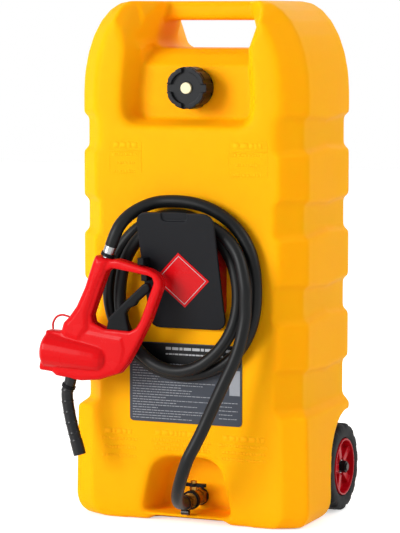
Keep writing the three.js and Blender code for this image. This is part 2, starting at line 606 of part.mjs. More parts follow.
function makeHolder() {
  const w = PLATE.width / 2;
  const outline = rounded([[-w, 0, PLATE.radius], [w, 0, PLATE.radius], [w, PLATE.height, PLATE.radius],
    [-w, PLATE.height, PLATE.radius]]);
  const n = PLATE.notchWidth / 2;
  const notch = rounded([[-n, PLATE.height - PLATE.notchDeep, PLATE.notchDeep / 2],
    [n, PLATE.height - PLATE.notchDeep, PLATE.notchDeep / 2], [n, PLATE.height + OVERRUN],
    [-n, PLATE.height + OVERRUN]]);
  const plate = leaning(outline, 0, PLATE.thick).subtract(leaning(notch, -OVERRUN, PLATE.notchCut));
  add('hose_holder_plate', plate, blackPlastic());

  const tile = [[0, -TILE.half], [TILE.half, 0], [0, TILE.half], [-TILE.half, 0]];
  const tileOutline = tile.map(([x, y]) => new THREE.Vector2(x, y + TILE.above));
  add('diamond_tile', leaning(tileOutline, -SEAT - TILE.thick, -SEAT), redPlastic());

  const coreOutline = (inset, foot) => {
    const wide = CORE.half - inset;
    const radius = CORE.arc - inset;
    const reach = Math.asin(wide / radius);
    const arc = [];
    for (let k = 0; k <= CORE.arcSteps; k += 1) {
      const angle = reach - (2 * reach * k) / CORE.arcSteps;
      arc.push([radius * Math.sin(angle), CORE.crown - CORE.arc + radius * Math.cos(angle)]);
    }
    return rounded([[-wide, foot, CORE.radius], [wide, foot, CORE.radius], ...arc])
      .map((p) => new THREE.Vector2(p.x + HOLDER.x, p.y));
  };
  const shell = (outline, near, deep) => loft([outline.map((p) => v(p.x, near(p.y), p.y)),
    outline.map((p) => v(p.x, deep, p.y))]);
  const outer = shell(coreOutline(0, CORE.foot), (z) => plateBack(z) + SEAT, front - SEAT);
  const hollow = shell(coreOutline(CORE.wall, CORE.foot + CORE.solidFoot),
    (z) => plateBack(z) + SEAT + CORE.wall, front + OVERRUN);
  let core = outer.subtract(hollow);
  [-1, 1].forEach((side) => {
    const x = HOLDER.x + (side * HOLDER_SCREW.across) / 2;
    const seat = plateBack(HOLDER_SCREW.z - SCREW.head) + SEAT + SCREW.headThick + RUNNING;
    core = core.subtract(alongAxisY(SCREW.head + RUNNING, x, HOLDER_SCREW.z, seat, plateFront(TANK.height),
      SCREW.sides));
    core = core.subtract(alongAxisY(SCREW.shank + SEAT, x, HOLDER_SCREW.z, seat - OVERRUN, front + OVERRUN,
      SCREW.sides));
    const head = alongAxisY(SCREW.head, x, HOLDER_SCREW.z, seat - SEAT - SCREW.headThick, seat - SEAT,
      SCREW.sides);
    const shank = alongAxisY(SCREW.shank, x, HOLDER_SCREW.z, seat - SEAT, front + SCREW.length - 2 * SEAT,
      SCREW.sides);
    add(side < 0 ? 'holder_screw_left' : 'holder_screw_right', head.add(shank), steel());
  });
  add('hose_holder_core', core, crimsonPlastic());

  const l = LABEL.width / 2;
  const h = LABEL.height / 2;
  const card = rounded([[-l, LABEL.z - h, LABEL.radius], [l, LABEL.z - h, LABEL.radius],
    [l, LABEL.z + h, LABEL.radius], [-l, LABEL.z + h, LABEL.radius]]);
  add('info_label', alongY(card, front - SEAT - LABEL.thick, front - SEAT), greyLabel());
}

// Nozzle cover outline points from their shares
const coverPoint = ([x, z]) => new THREE.Vector2(nozzleLeft + x * NOZZLE.across,
  NOZZLE.foot + z * NOZZLE.tall);

// Outline moved inwards by a distance, or outwards when it is negative
function inset(outline, distance) {
  const turn = Math.sign(THREE.ShapeUtils.area(outline));
  return outline.map((p, i) => {
    const before = p.clone().sub(outline[(i + outline.length - 1) % outline.length]).normalize();
    const after = outline[(i + 1) % outline.length].clone().sub(p).normalize();
    const inward = new THREE.Vector2(-before.y - after.y, before.x + after.x).normalize();
    const lean = Math.max(inward.x * -before.y + inward.y * before.x, BEVEL_LIMIT);
    return p.clone().addScaledVector(inward, (turn * distance) / lean);
  });
}

// Slab in the nozzle's plane with rounded long edges; a negative edge flares it, for a window's cut
function nozzleSlab(outline, thick, edge, past = 0) {
  const size = Math.abs(edge);
  const near = nozzleY - thick / 2;
  const levels = [[0, 1], [EDGE_MID, EDGE_MID], [1, 0]].map(([deep, inward]) => [
    near + deep * size, inset(outline, inward * edge)]);
  if (past > 0) levels.unshift([near - past, inset(outline, edge)]);
  const mirror = levels.map(([y, points]) => [2 * nozzleY - y, points]).reverse();
  return loft([...levels, ...mirror].map(([y, points]) => acrossY(points, y)));
}

const nozzlePoint = (share) => acrossY([coverPoint(share)], nozzleY)[0];
const [barrelStart, barrelEnd] = BARREL_SHARES.map(nozzlePoint);
const barrelAxis = barrelEnd.clone().sub(barrelStart).normalize();
const barrelLong = barrelEnd.distanceTo(barrelStart);
const [inletAt, inletTo] = INLET_SHARES.map(nozzlePoint);
const inletAxis = inletTo.clone().sub(inletAt).normalize();
const inletPoint = (along) => inletAt.clone().addScaledVector(inletAxis, along);
const barrelPoint = (along) => barrelStart.clone().addScaledVector(barrelAxis, along);
const pivot = nozzlePoint(PIVOT_SHARE);
const chamberEnd = barrelLong - NOZZLE_CORE.short;
const poppetAt = chamberEnd - POPPET.before;

const spoutPoints = SPOUT_SHARES.map(nozzlePoint);
const spoutCurve = new THREE.CatmullRomCurve3(spoutPoints);

function tube(points, radius, sides, turn = 0) {
  const rings = points.map((p, i) => {
    const before = points[Math.max(i - 1, 0)];
    const after = points[Math.min(i + 1, points.length - 1)];
    const ahead = after.clone().sub(before).normalize();
    return { p, ahead };
  });
  let side = new THREE.Vector3(0, 1, 0);
  if (Math.abs(rings[0].ahead.y) > 0.9) side = new THREE.Vector3(1, 0, 0);
  return loft(rings.map(({ p, ahead }) => {
    side = side.clone().addScaledVector(ahead, -side.dot(ahead)).normalize();
    const other = ahead.clone().cross(side);
    return Array.from({ length: sides }, (_, k) => {
      const angle = turn + (k / sides) * 2 * Math.PI;
      return p.clone().addScaledVector(side, radius * Math.cos(angle)).addScaledVector(other,
        radius * Math.sin(angle));
    });
  }));
}

// Thicker part of the cover, its long edges rounded down to the guard's own
const swelling = (shares, thick) => nozzleSlab(shares.map(coverPoint), thick,
  NOZZLE.edge + (thick - NOZZLE.guard) / 2);

// Barrel housing of the cover, with a domed end
function nozzleBarrel() {
  const taper = BARREL.big - BARREL.small;
  const profile = [[0, 0], [BARREL.big - BARREL.round, 0], [BARREL.big, BARREL.round],
    [BARREL.small + taper / 3, barrelLong - BARREL.dome]];
  const steps = 4;
  for (let k = 0; k <= steps; k += 1) {
    const angle = (k / steps) * (Math.PI / 2);
    profile.push([BARREL.small * Math.cos(angle), barrelLong + BARREL.dome * Math.sin(angle)]);
  }
  profile[profile.length - 1][0] = 0;
  return turned(profile, barrelStart, barrelAxis, 20);
}

function makeNozzleCover() {
  const outlineOf = (shares) => shares.map(coverPoint);
  const window = nozzleSlab(outlineOf(WINDOW_SHARES), NOZZLE.guard, -NOZZLE.edge, OVERRUN);
  const plain = nozzleSlab(outlineOf(COVER_SHARES), NOZZLE.guard, NOZZLE.edge);
  let cover = joined([plain, swelling(GRIP_SHARES, NOZZLE.grip), swelling(BELLY_SHARES, NOZZLE.belly)]);
  cover = cover.subtract(window).add(nozzleBarrel());
  const room = [];
  room.push(rod(NOZZLE_CORE.duct + SEAT, inletPoint(-INLET.ferruleLong), inletTo));
  room.push(rod(INLET.collar + SEAT, inletPoint(-INLET.ferruleLong), inletPoint(INLET.ferruleLong)));
  room.push(rod(NOZZLE_CORE.chamber + SEAT, barrelPoint(NOZZLE_CORE.from - SEAT),
    barrelPoint(chamberEnd + SEAT)));
  room.push(tube([spoutPoints[0].clone().lerp(spoutPoints[1], -1), spoutPoints[0], spoutPoints[1],
    spoutPoints[2]], SPOUT.radius + SEAT, 16));
  const halfPocket = LEVER.thick / 2 + RUNNING;
  room.push(block([pivot.x - LEVER.slotLeft, nozzleY - halfPocket, pivot.z - LEVER.hub - RUNNING],
    [pivot.x + LEVER.slotRight, nozzleY + halfPocket, pivot.z + LEVER.slotUp]));
  room.push(rod(LEVER.pin + SEAT, v(pivot.x, nozzleY - LEVER.pinLong / 2 - SEAT, pivot.z),
    v(pivot.x, nozzleY + LEVER.pinLong / 2 + SEAT, pivot.z), 12));
  const seat = nozzleY + NOZZLE.guard / 2 - NOZZLE_SCREW.sink - NOZZLE_SCREW.headThick;
  const tip = seat - NOZZLE_SCREW.length;
  const screwRod = (place, radius, from, to) => rod(radius, v(place.x, from, place.z),
    v(place.x, to, place.z), NOZZLE_SCREW.sides);
  const screws = SCREW_SHARES.map(nozzlePoint);
  screws.forEach((place) => {
    room.push(screwRod(place, NOZZLE_SCREW.head + SEAT, seat, seat + NOZZLE.belly));
    room.push(screwRod(place, NOZZLE_SCREW.shank + SEAT, tip - SEAT, seat + SEAT));
  });
  cover = cover.subtract(joined(room));
  const low = [nozzleLeft - NOZZLE.across, nozzleY - NOZZLE.across, NOZZLE.foot - NOZZLE.tall];
  const high = [nozzleLeft + 2 * NOZZLE.across, nozzleY + NOZZLE.across, NOZZLE.foot + 2 * NOZZLE.tall];
  const frontHalf = block(low, [high[0], nozzleY - SEAT / 2, high[2]]);
  const backHalf = block([low[0], nozzleY + SEAT / 2, low[2]], high);
  add('nozzle_cover_front', cover.intersect(frontHalf), redPlastic());
  add('nozzle_cover_back', cover.intersect(backHalf), redPlastic());
  screws.forEach((place, i) => {
    const head = screwRod(place, NOZZLE_SCREW.head, seat + SEAT, seat + SEAT + NOZZLE_SCREW.headThick);
    const shank = screwRod(place, NOZZLE_SCREW.shank, tip, seat + 2 * SEAT);
    add(`nozzle_screw_${i + 1}`, head.add(shank), steel());
  });
}

function makeNozzleWorks() {
  const duct = rod(NOZZLE_CORE.duct, inletPoint(INLET.ferruleLong + SEAT), inletTo, 20);
  const chamber = rod(NOZZLE_CORE.chamber, barrelPoint(NOZZLE_CORE.from), barrelPoint(chamberEnd), 24);
  const outwards = spoutCurve.getTangent(0);
  const outletEnd = spoutPoints[0].clone().addScaledVector(outwards, -SEAT);
  const outletTop = outletEnd.clone().addScaledVector(outwards, -NOZZLE_CORE.chamber);
  const outlet = rod(NOZZLE_CORE.outlet, outletTop, outletEnd, 20);
  const bores = joined([
    rod(NOZZLE_CORE.ductBore, inletPoint(INLET.ferruleLong - OVERRUN), inletTo, 20),
    rod(NOZZLE_CORE.chamberBore, barrelPoint(NOZZLE_CORE.from + NOZZLE_CORE.end),
      barrelPoint(chamberEnd - NOZZLE_CORE.end), 24),
    rod(NOZZLE_CORE.outletBore, outletTop, outletEnd.clone().addScaledVector(outwards, OVERRUN), 20),
  ]);
  add('nozzle_core', joined([duct, chamber, outlet]).subtract(bores), aluminium());
  const disc = rod(POPPET.radius, barrelPoint(poppetAt), barrelPoint(poppetAt + POPPET.thick), 20);
  const stem = rod(POPPET.stem, barrelPoint(poppetAt + POPPET.thick),
    barrelPoint(poppetAt + POPPET.thick + POPPET.stemLong), 12);
  add('nozzle_poppet', disc.add(stem), brass());
  add('poppet_spring', ring(POPPET_SPRING.inner, POPPET_SPRING.outer,
    barrelPoint(NOZZLE_CORE.from + NOZZLE_CORE.end + SEAT),
    barrelPoint(poppetAt - POPPET.stroke - SEAT), 20),
  steel());

  const halfFerrule = INLET.ferruleLong / 2;
  const inletRing = (radius, from, to) => ring(INLET.bore, radius, inletPoint(from), inletPoint(to));
  add('inlet_ferrule', inletRing(INLET.ferrule, -halfFerrule, halfFerrule), steel());
  add('inlet_collar', inletRing(INLET.collar, halfFerrule + SEAT, halfFerrule + INLET.collarLong),
    blackPlastic());

  const leverOutline = LEVER_SHARES.map(([x, z]) => new THREE.Vector2(
    pivot.x + x * NOZZLE.across, pivot.z + z * NOZZLE.tall));
  const pinHole = rod(LEVER.pin + RUNNING / 2, v(pivot.x, nozzleY - LEVER.thick, pivot.z),
    v(pivot.x, nozzleY + LEVER.thick, pivot.z), 16);
  const leverSlab = nozzleSlab(leverOutline, LEVER.thick, NOZZLE.edge / 2);
  add('trigger_lever', leverSlab.subtract(pinHole), blackPlastic());
  add('lever_pin', rod(LEVER.pin, v(pivot.x, nozzleY - LEVER.pinLong / 2, pivot.z),
    v(pivot.x, nozzleY + LEVER.pinLong / 2, pivot.z), 16), steel());

  const route = Array.from({ length: SPOUT.steps + 1 }, (_, k) => spoutCurve.getPoint(k / SPOUT.steps));
  let spout = tube(route, SPOUT.radius, 10);
  const long = spoutCurve.getLength();
  for (let i = 0; i < SPOUT.ribs; i += 1) {
    const along = long - SPOUT.ribFirst - i * SPOUT.ribPitch;
    const at = spoutCurve.getPointAt(along / long);
    const next = spoutCurve.getPointAt((along + SPOUT.ribLong) / long);
    spout = spout.add(rod(SPOUT.radius + SPOUT.rib, at, next, 10));
  }
  const mouth = [long - SPOUT.boreDeep, long - SPOUT.boreDeep / 2, long]
    .map((s) => spoutCurve.getPointAt(s / long));
  mouth.push(mouth[2].clone().addScaledVector(spoutCurve.getTangent(1), OVERRUN));
  add('spout', spout.subtract(tube(mouth, SPOUT.bore, 12)), blackPlastic());

  const glandAt = spoutCurve.getPointAt(SPOUT_GLAND.from / long);
  const glandEnd = spoutCurve.getPointAt((SPOUT_GLAND.from + SPOUT_GLAND.long) / long);
  const spoutRoom = tube(route, SPOUT.radius + SEAT, 16);
  add('spout_gland', rod(SPOUT_GLAND.radius, glandAt, glandEnd, 20).subtract(spoutRoom), blackPlastic());

  const loopCurve = new THREE.CatmullRomCurve3(LOOP_SHARES.map(nozzlePoint));
  const loopRoute = Array.from({ length: HANG_LOOP.steps + 1 }, (_, k) => loopCurve.getPoint(
    k / HANG_LOOP.steps));
  add('hang_loop', tube(loopRoute, HANG_LOOP.radius, HANG_LOOP.sides), redPlastic());
}

function makeNozzleClip() {
  const guardBack = nozzleY + NOZZLE.guard / 2 + SEAT;
  const x = plateLeft + CLIP.inboard;
  const place = (x - nozzleLeft) / NOZZLE.across;
  const halfShare = CLIP.across / NOZZLE.across / 2;
  const height = ([left, low], [right, high], share) => NOZZLE.foot
    + NOZZLE.tall * THREE.MathUtils.lerp(low, high, (share - left) / (right - left));
  const barTop = height(COVER_SHARES[2], COVER_SHARES[3], place - halfShare) + SEAT;
  const barFoot = height(WINDOW_SHARES[0], WINDOW_SHARES[1], place + halfShare) - SEAT;
  const profile = [
    [plateFront(barFoot - CLIP.jaw) - SEAT, barFoot - CLIP.jaw],
    [nozzleY + LEVER.thick / 2 + 2 * SEAT, barFoot - CLIP.jaw],
    [nozzleY + LEVER.thick / 2 + 2 * SEAT, barFoot],
    [guardBack, barFoot],
    [guardBack, barTop],
    [plateFront(barFoot) - CLIP.reach, barTop],
    [plateFront(barFoot) - CLIP.reach, barTop + CLIP.jaw],
    [plateFront(barTop + CLIP.jaw) - SEAT, barTop + CLIP.jaw],
  ].map(([y, z]) => new THREE.Vector2(y, z));
  add('nozzle_clip', alongX(profile, x - CLIP.across / 2, x + CLIP.across / 2), blackPlastic());
}

// Outlet valve in the arch at the foot of the front
const valveStart = archBack - SEAT - VALVE.seal - SEAT;
const bodyBack = valveStart - VALVE.bushingThick - SEAT;
const bodyFront = bodyBack - VALVE.bodyLong;
const barbFront = bodyFront - SEAT - BARB.long;
const ballY = (bodyBack + bodyFront) / 2;

function makeValve() {
  const y = (from, to, radius, sides) => alongAxisY(radius, 0, VALVE.z, from, to, sides);
  const inside = archBack + TANK.wall;
  const bore = y(bodyFront - OVERRUN - BARB.long, inside + 2 * OVERRUN + VALVE.nutThick, VALVE.bore, 20);
  add('outlet_seal', ring(VALVE.bushing + SEAT, VALVE.bushingFlange,
    v(0, archBack - SEAT - VALVE.seal, VALVE.z), v(0, archBack - SEAT, VALVE.z)), sealRubber());
  const bushing = y(valveStart - VALVE.bushingThick, valveStart, VALVE.bushingFlange, 6)
    .add(y(valveStart - SEAT, inside + VALVE.nutThick + 2 * SEAT, VALVE.bushing, 24)).subtract(bore);
  add('outlet_bushing', bushing, brass());
  add('outlet_nut', y(inside + SEAT, inside + SEAT + VALVE.nutThick, VALVE.nut, 6)
    .subtract(y(inside - OVERRUN, inside + VALVE.nutThick + OVERRUN, VALVE.bushing + SEAT, 24)), brass());

  const top = VALVE.z + VALVE.bossTall;
  const ballRoom = solid(new THREE.SphereGeometry(VALVE.ball + VALVE.ballClear, 16, 8)
    .rotateX(Math.PI / 2).translate(0, ballY, VALVE.z));
  const seatEnd = VALVE.ball + VALVE.ballClear + VALVE.seatThick / 4;
  const seatRoom = y(ballY - seatEnd - SEAT, ballY + seatEnd + SEAT, VALVE.seatOuter + SEAT, 20);
  const stemRoom = rod(VALVE.stem + RUNNING, v(0, ballY, VALVE.z), v(0, ballY, top + OVERRUN), 20);
  const boss = rod(VALVE.boss, v(0, ballY, VALVE.z), v(0, ballY, top), 16);
  const through = y(bodyBack + OVERRUN, bodyFront - OVERRUN, VALVE.bore, 20);
  const body = y(bodyBack, bodyFront, VALVE.body, 20).add(boss)
    .subtract(joined([through, ballRoom, seatRoom, stemRoom]));
  add('valve_body', body, brass());
  [-1, 1].forEach((side) => {
    const end = ballY + side * seatEnd;
    const start = end - side * VALVE.seatThick;
    add(side < 0 ? 'ball_seat_front' : 'ball_seat_back', ring(VALVE.seatInner + SEAT, VALVE.seatOuter,
      v(0, start, VALVE.z), v(0, end, VALVE.z)), ptfe());
  });
  const across = rod(VALVE.bore, v(-VALVE.body, ballY, VALVE.z), v(VALVE.body, ballY, VALVE.z), 20);
  const ball = solid(new THREE.SphereGeometry(VALVE.ball, 16, 8).translate(0, ballY, VALVE.z));
  add('valve_ball', ball.subtract(across), steel());

  const stemFoot = VALVE.z + VALVE.ball + SEAT;
  const handleFoot = top + SEAT + HANDLE.glandTall + SEAT;
  const handleTop = handleFoot + HANDLE.thick;
  const stemTop = handleTop + SEAT + HANDLE.nutTall;
  add('valve_stem', rod(VALVE.stem, v(0, ballY, stemFoot), v(0, ballY, stemTop), 16), brass());
  add('gland_nut', hexNut(VALVE.stem + RUNNING, HANDLE.gland, v(0, ballY, top + SEAT),
    v(0, ballY, top + SEAT + HANDLE.glandTall)), brass());
  const w = HANDLE.wide / 2;
  const reach = HANDLE.long / 2;
  const tip = w * WING_SHARES.tip;
  const waist = w * WING_SHARES.waist;
  const wing = rounded([[-reach, -w, tip], [-w, -waist], [w, -waist], [reach, -w, tip],
    [reach, w, tip], [w, waist], [-w, waist], [-reach, w, tip]], 3);
  const slab = loft([handleFoot, handleTop].map((z) => wing.map((p) => v(p.x, ballY + p.y, z))));
  const hub = rod(VALVE.boss, v(0, ballY, handleFoot), v(0, ballY, handleTop), 20);
  const stemHole = rod(VALVE.stem + SEAT, v(0, ballY, top), v(0, ballY, handleTop + OVERRUN), 16);
  add('valve_handle', slab.add(hub).subtract(stemHole), blackPlastic());
  add('handle_nut', hexNut(VALVE.stem + SEAT, HANDLE.nut + SEAT, v(0, ballY, handleTop + SEAT),
    v(0, ballY, handleTop + SEAT + HANDLE.nutTall)), steel());

  const collarAt = bodyFront + SEAT;
  add('valve_collar', ring(VALVE.body + SEAT, VALVE.collar, v(0, collarAt, VALVE.z),
    v(0, collarAt + VALVE.collarThick, VALVE.z)), blackPlastic());
  const barb = y(barbFront, bodyFront - SEAT, BARB.shoulder - 1.5 * SEAT, 24)
    .add(y(bodyFront - SEAT - BARB.long / 2, bodyFront - SEAT, BARB.shoulder + 1.5 * SEAT, 6))
    .subtract(bore);
  add('hose_barb', barb, brass());

  const clampFront = barbFront - SEAT - CLAMP.from - CLAMP.wide;
  const band = ring(CLAMP.inner, CLAMP.outer, v(0, clampFront, VALVE.z),
    v(0, clampFront + CLAMP.wide, VALVE.z), 20);
  const housingAt = clampFront + CLAMP.wide / 2;
  const housingZ = VALVE.z - CLAMP.outer - CLAMP.housing + 2 * SEAT;
  const housing = rod(CLAMP.housing, v(-CLAMP.housingLong / 2, housingAt, housingZ),
    v(CLAMP.housingLong / 2, housingAt, housingZ), 12);
  add('hose_clamp', band.add(housing), steel());
}

// Hose: one run from the valve to the coil, and the coil over the holder to the nozzle
const ahead = ([x, distance, z]) => v(x, front - distance, z);

function runPoints() {
  const start = barbFront - SEAT;
  const points = [v(0, start, VALVE.z), v(0, start - HOSE.lead, VALVE.z)];
  const sideways = (along) => RUN_LEAN_SHARE * (along < RUN_LEAN_RAMP
    ? (along * along) / RUN_LEAN_RAMP / 2 : along - RUN_LEAN_RAMP / 2);
  for (let k = 1; k <= HOSE.bendSteps; k += 1) {
    const angle = ((k / HOSE.bendSteps) * Math.PI) / 2;
    points.push(v(sideways(HOSE.bend * angle), start - HOSE.lead - HOSE.bend * Math.sin(angle),
      VALVE.z + HOSE.bend * (1 - Math.cos(angle))));
  }
  return [...points, ...RUN_ROUTE.map(ahead), ahead(RUN_END)];
}

function smoothRun() {
  const curve = new THREE.CatmullRomCurve3(runPoints(), false, 'centripetal');
  return Array.from({ length: HOSE.runSteps + 1 }, (_, k) => curve.getPoint(k / HOSE.runSteps));
}

// Smooth value at a place between the coil's stations
function station(place, column) {
  const last = COIL_STATIONS.length - 1;
  const i = Math.min(Math.floor(place), last - 1);
  const value = (k) => COIL_STATIONS[THREE.MathUtils.clamp(k, 0, last)][column];
  const t = place - i;
  const slope = (k) => (value(k + 1) - value(k - 1)) / 2;
  const smooth = t * t * (3 - 2 * t);
  const bow = t * (1 - t);
  return THREE.MathUtils.lerp(value(i), value(i + 1), smooth)
    + bow * ((1 - t) * slope(i) - t * slope(i + 1));
}

function coilPoints() {
  const end = inletPoint(-INLET.ferruleLong / 2 - SEAT);
  const leadIn = end.clone().addScaledVector(inletAxis, -HOSE.diameter);
  const up = (distance) => ahead(RUN_END).add(v(0, 0, distance));
  const start = up(SEAT);
  const guide = [up(HOSE.diameter)];
  const eighth = HOSE.stepsPerLoop / 8;
  const last = COIL_STATIONS.length - 1;
  for (let k = 2; k <= last * eighth; k += 1) {
    const angle = ((k / eighth) * Math.PI) / 4;
    const reach = station(k / eighth, 0);
    guide.push(ahead([reach * Math.cos(angle), station(k / eighth, 1), COIL.z + reach * Math.sin(angle)]));
  }
  COIL_END_ROUTE.forEach((p) => guide.push(ahead(p)));
  const curve = new THREE.CatmullRomCurve3([start, ...guide, leadIn, end], false, 'centripetal');
  const long = curve.getLength();
  const count = Math.round(guide.length);
  const points = [start];
  for (let k = 0; k <= count; k += 1) {
    points.push(curve.getPointAt((HOSE.diameter + ((long - 2 * HOSE.diameter) * k) / count) / long));
  }
  points.push(end);
  return points;
}

function leastGap(points) {
  let least = Infinity;
  let travelled = 0;
  const along = points.map((p, i) => {
    travelled += i > 0 ? p.distanceTo(points[i - 1]) : 0;
    return travelled;
  });
  const apart = HOSE.bend * 2;
  for (let i = 0; i < points.length; i += 1) {
    for (let j = i + 1; j + 1 < points.length; j += 1) {
      if (along[j] - along[i] > apart) {
        const stretch = new THREE.Line3(points[j], points[j + 1]);
        const near = stretch.closestPointToPoint(points[i], true, new THREE.Vector3());
        least = Math.min(least, near.distanceTo(points[i]));
      }
    }
  }
  return least - HOSE.diameter;
}

function makeHose() {
  const run = tube(smoothRun(), HOSE.diameter / 2, HOSE.runSides, Math.PI / HOSE.runSides);
  add('hose_lower_run', run, blackRubber());
  const coil = coilPoints();
  add('hose_coil', tube(coil, HOSE.diameter / 2, HOSE.coilSides), blackRubber());
  console.log('least gap of the hose coil to itself, mm:', leastGap(coil).toFixed(2));
}

// Wheels
function makeWheel(side, label) {
  const centre = (x) => v(side * x, WHEEL.y, WHEEL.radius);
  const direction = v(side, 0, 0);
  const inner = wheelFace - WHEEL.width;
  const w = WHEEL.width;
  const r = WHEEL.radius;
  const bead = WHEEL.bead;
  const shoulder = bead * TYRE_SHARES.shoulder;
  const edge = bead * TYRE_SHARES.edge;
  const notch = bead * TYRE_SHARES.notch;
  const section = [[WHEEL.rim + SEAT, bead], [r - shoulder, 0], [r - WHEEL.treadDeep / 2, bead / 2],
    [r, edge], [r, w - edge], [r - WHEEL.treadDeep / 2, w - bead / 2],
    [r - shoulder, w], [WHEEL.rim + SEAT, w - bead]];
  let tyre = turned(section, centre(inner), direction, 32, true);
  const grooveHalf = (Math.PI * r) / WHEEL.treads / 4;
  const cuts = [];
  for (let i = 0; i < WHEEL.treads; i += 1) {
    [0, 1].forEach((row) => {
      const angle = ((i + row / 2) / WHEEL.treads) * 2 * Math.PI;
      const from = row === 0 ? -OVERRUN : w - notch;
      const to = row === 0 ? notch : w + OVERRUN;
      const geometry = new THREE.BoxGeometry(to - from, 2 * grooveHalf, 2 * WHEEL.treadDeep);
      geometry.translate(side * (inner + (from + to) / 2), 0, r);
      geometry.rotateX(angle);
      geometry.translate(0, WHEEL.y, WHEEL.radius);
      cuts.push(solid(geometry));
    });
  }
  tyre = tyre.subtract(joined(cuts));
  add(`tyre_${label}`, tyre, blackRubber());

  const webFrom = w - WHEEL.webInset - WHEEL.web;
  const rimWall = WHEEL.bead;
  let rim = turned([[WHEEL.rim - rimWall, 0], [WHEEL.rim, 0], [WHEEL.rim, w], [WHEEL.rim - rimWall, w]],
    centre(inner), direction, 24, true);
  rim = rim.add(turned([[WHEEL.bush + RUNNING, 0], [WHEEL.hub, 0], [WHEEL.hub, webFrom],
    [WHEEL.rim - rimWall / 2, webFrom], [WHEEL.rim - rimWall / 2, webFrom + WHEEL.web],
    [WHEEL.hub, webFrom + WHEEL.web], [WHEEL.hub, w - WHEEL.hubInset],
    [WHEEL.bush + RUNNING, w - WHEEL.hubInset]],
  centre(inner), direction, 24, true));
  for (let i = 0; i < WHEEL.spokes; i += 1) {
    const angle = ((i + WHEEL.spokeTurn) / WHEEL.spokes) * 2 * Math.PI;
    const long = WHEEL.rim - rimWall / 2 - WHEEL.hub + rimWall / 2;
    const geometry = new THREE.BoxGeometry(WHEEL.spokeDeep + WHEEL.web / 2, WHEEL.spokeWide, long);
    geometry.translate(side * (inner + webFrom + (WHEEL.spokeDeep + 1.5 * WHEEL.web) / 2), 0,
      WHEEL.rim - rimWall / 2 - long / 2);
    geometry.rotateX(angle);
    geometry.translate(0, WHEEL.y, WHEEL.radius);
    rim = rim.add(solid(geometry));
  }
  add(`wheel_rim_${label}`, rim, crimsonPlastic());
  add(`wheel_bush_${label}`, ring(AXLE.radius + RUNNING / 2, WHEEL.bush, centre(inner),
    centre(wheelFace - WHEEL.hubInset), 20),
    ptfe());
  const washer = (from, name) => add(name, ring(AXLE.radius + SEAT, AXLE.washer, centre(from),
    centre(from + AXLE.washerThick)), steel());
  washer(inner - SEAT - AXLE.washerThick, `washer_inner_${label}`);
  const outerFace = wheelFace - WHEEL.hubInset + SEAT;
  washer(outerFace, `washer_outer_${label}`);
  const nutFrom = outerFace + AXLE.washerThick + SEAT;
  const nut = hexNut(AXLE.radius + SEAT, AXLE.nut, centre(nutFrom), centre(nutFrom + AXLE.nutLong));
  add(`axle_nut_${label}`, nut, blackPlastic());
}

function makeRunningGear() {
  const end = wheelFace - WHEEL.hubInset + AXLE.washerThick + AXLE.nutLong + AXLE.proud;
  add('axle', rod(AXLE.radius, v(-end, WHEEL.y, WHEEL.radius), v(end, WHEEL.y, WHEEL.radius), 20), steel());
  makeWheel(1, 'right');
  makeWheel(-1, 'left');
}

makeTank();
makeFiller();
makeHolder();
makeNozzleCover();
makeNozzleWorks();
makeNozzleClip();
makeValve();
makeHose();
makeRunningGear();

export default caddy;
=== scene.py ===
"""Fuel caddy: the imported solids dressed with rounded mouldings, a smooth hose and real finishes."""

import logging
import math
from dataclasses import dataclass, field
from enum import Enum

import bmesh
import bpy
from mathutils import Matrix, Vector


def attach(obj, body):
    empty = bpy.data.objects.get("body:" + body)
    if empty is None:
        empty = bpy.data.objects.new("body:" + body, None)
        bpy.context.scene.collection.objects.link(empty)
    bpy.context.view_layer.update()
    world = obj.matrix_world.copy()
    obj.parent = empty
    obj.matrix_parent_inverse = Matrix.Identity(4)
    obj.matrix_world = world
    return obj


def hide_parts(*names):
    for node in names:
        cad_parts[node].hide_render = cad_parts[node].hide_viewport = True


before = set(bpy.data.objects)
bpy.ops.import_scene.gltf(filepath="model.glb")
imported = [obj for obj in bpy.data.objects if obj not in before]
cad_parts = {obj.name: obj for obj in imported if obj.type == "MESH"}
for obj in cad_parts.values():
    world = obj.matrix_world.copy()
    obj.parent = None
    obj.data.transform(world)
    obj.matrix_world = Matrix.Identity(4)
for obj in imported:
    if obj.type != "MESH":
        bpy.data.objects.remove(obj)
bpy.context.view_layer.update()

logging.basicConfig(level=logging.INFO, format="%(message)s")
log = logging.getLogger("fuel caddy")

Point = tuple[float, float, float]
Value = bpy.types.NodeSocket | float | tuple

MM = 0.001
WHITE = (1, 1, 1, 1)
# How far one smoothing round moves a point, as a share
SMOOTHING = 0.5
# The sharpest fold that an eased edge leaves alone, and the steps across such an edge
EASE_ANGLE = math.radians(35)
EASE_STEPS = 2
# Fine relief: its strength, the noise values between which gloss changes, by how much, and the tool marks' stretch
BUMP_STRENGTH = 0.6
PATCH_SPAN = (0.3, 0.7)
ROUGHNESS_SPAN = (-0.04, 0.05)
TOOL_MARK_STRETCH = (0.12, 1.0, 1.0)
# Octaves of noise in the colour's patches, a plain skin, tool marks, spark-eroded grain and rubber's bloom
PATCH_DETAIL = 4.0
SKIN_DETAIL = 2.0
MARK_DETAIL = 3.0
GRAIN_DETAIL = 6.0
BLOOM_DETAIL = 8.0
# How deep a bar is sunk in its face, and how far the edges of printed ink slope in, in millimetres
BAR_SINK = 0.1
INK_SLOPE = 0.05
RULE_SLOPE = 0.03


class Side(Enum):
    """The two ends of the axle, seen from the front."""

    RIGHT = 1
    LEFT = -1


class Made(Enum):
    """How a surface got its texture."""

    SMOOTH = "smooth"
    TURNED = "turned"
    CAST = "cast"
    GRAINED = "grained"


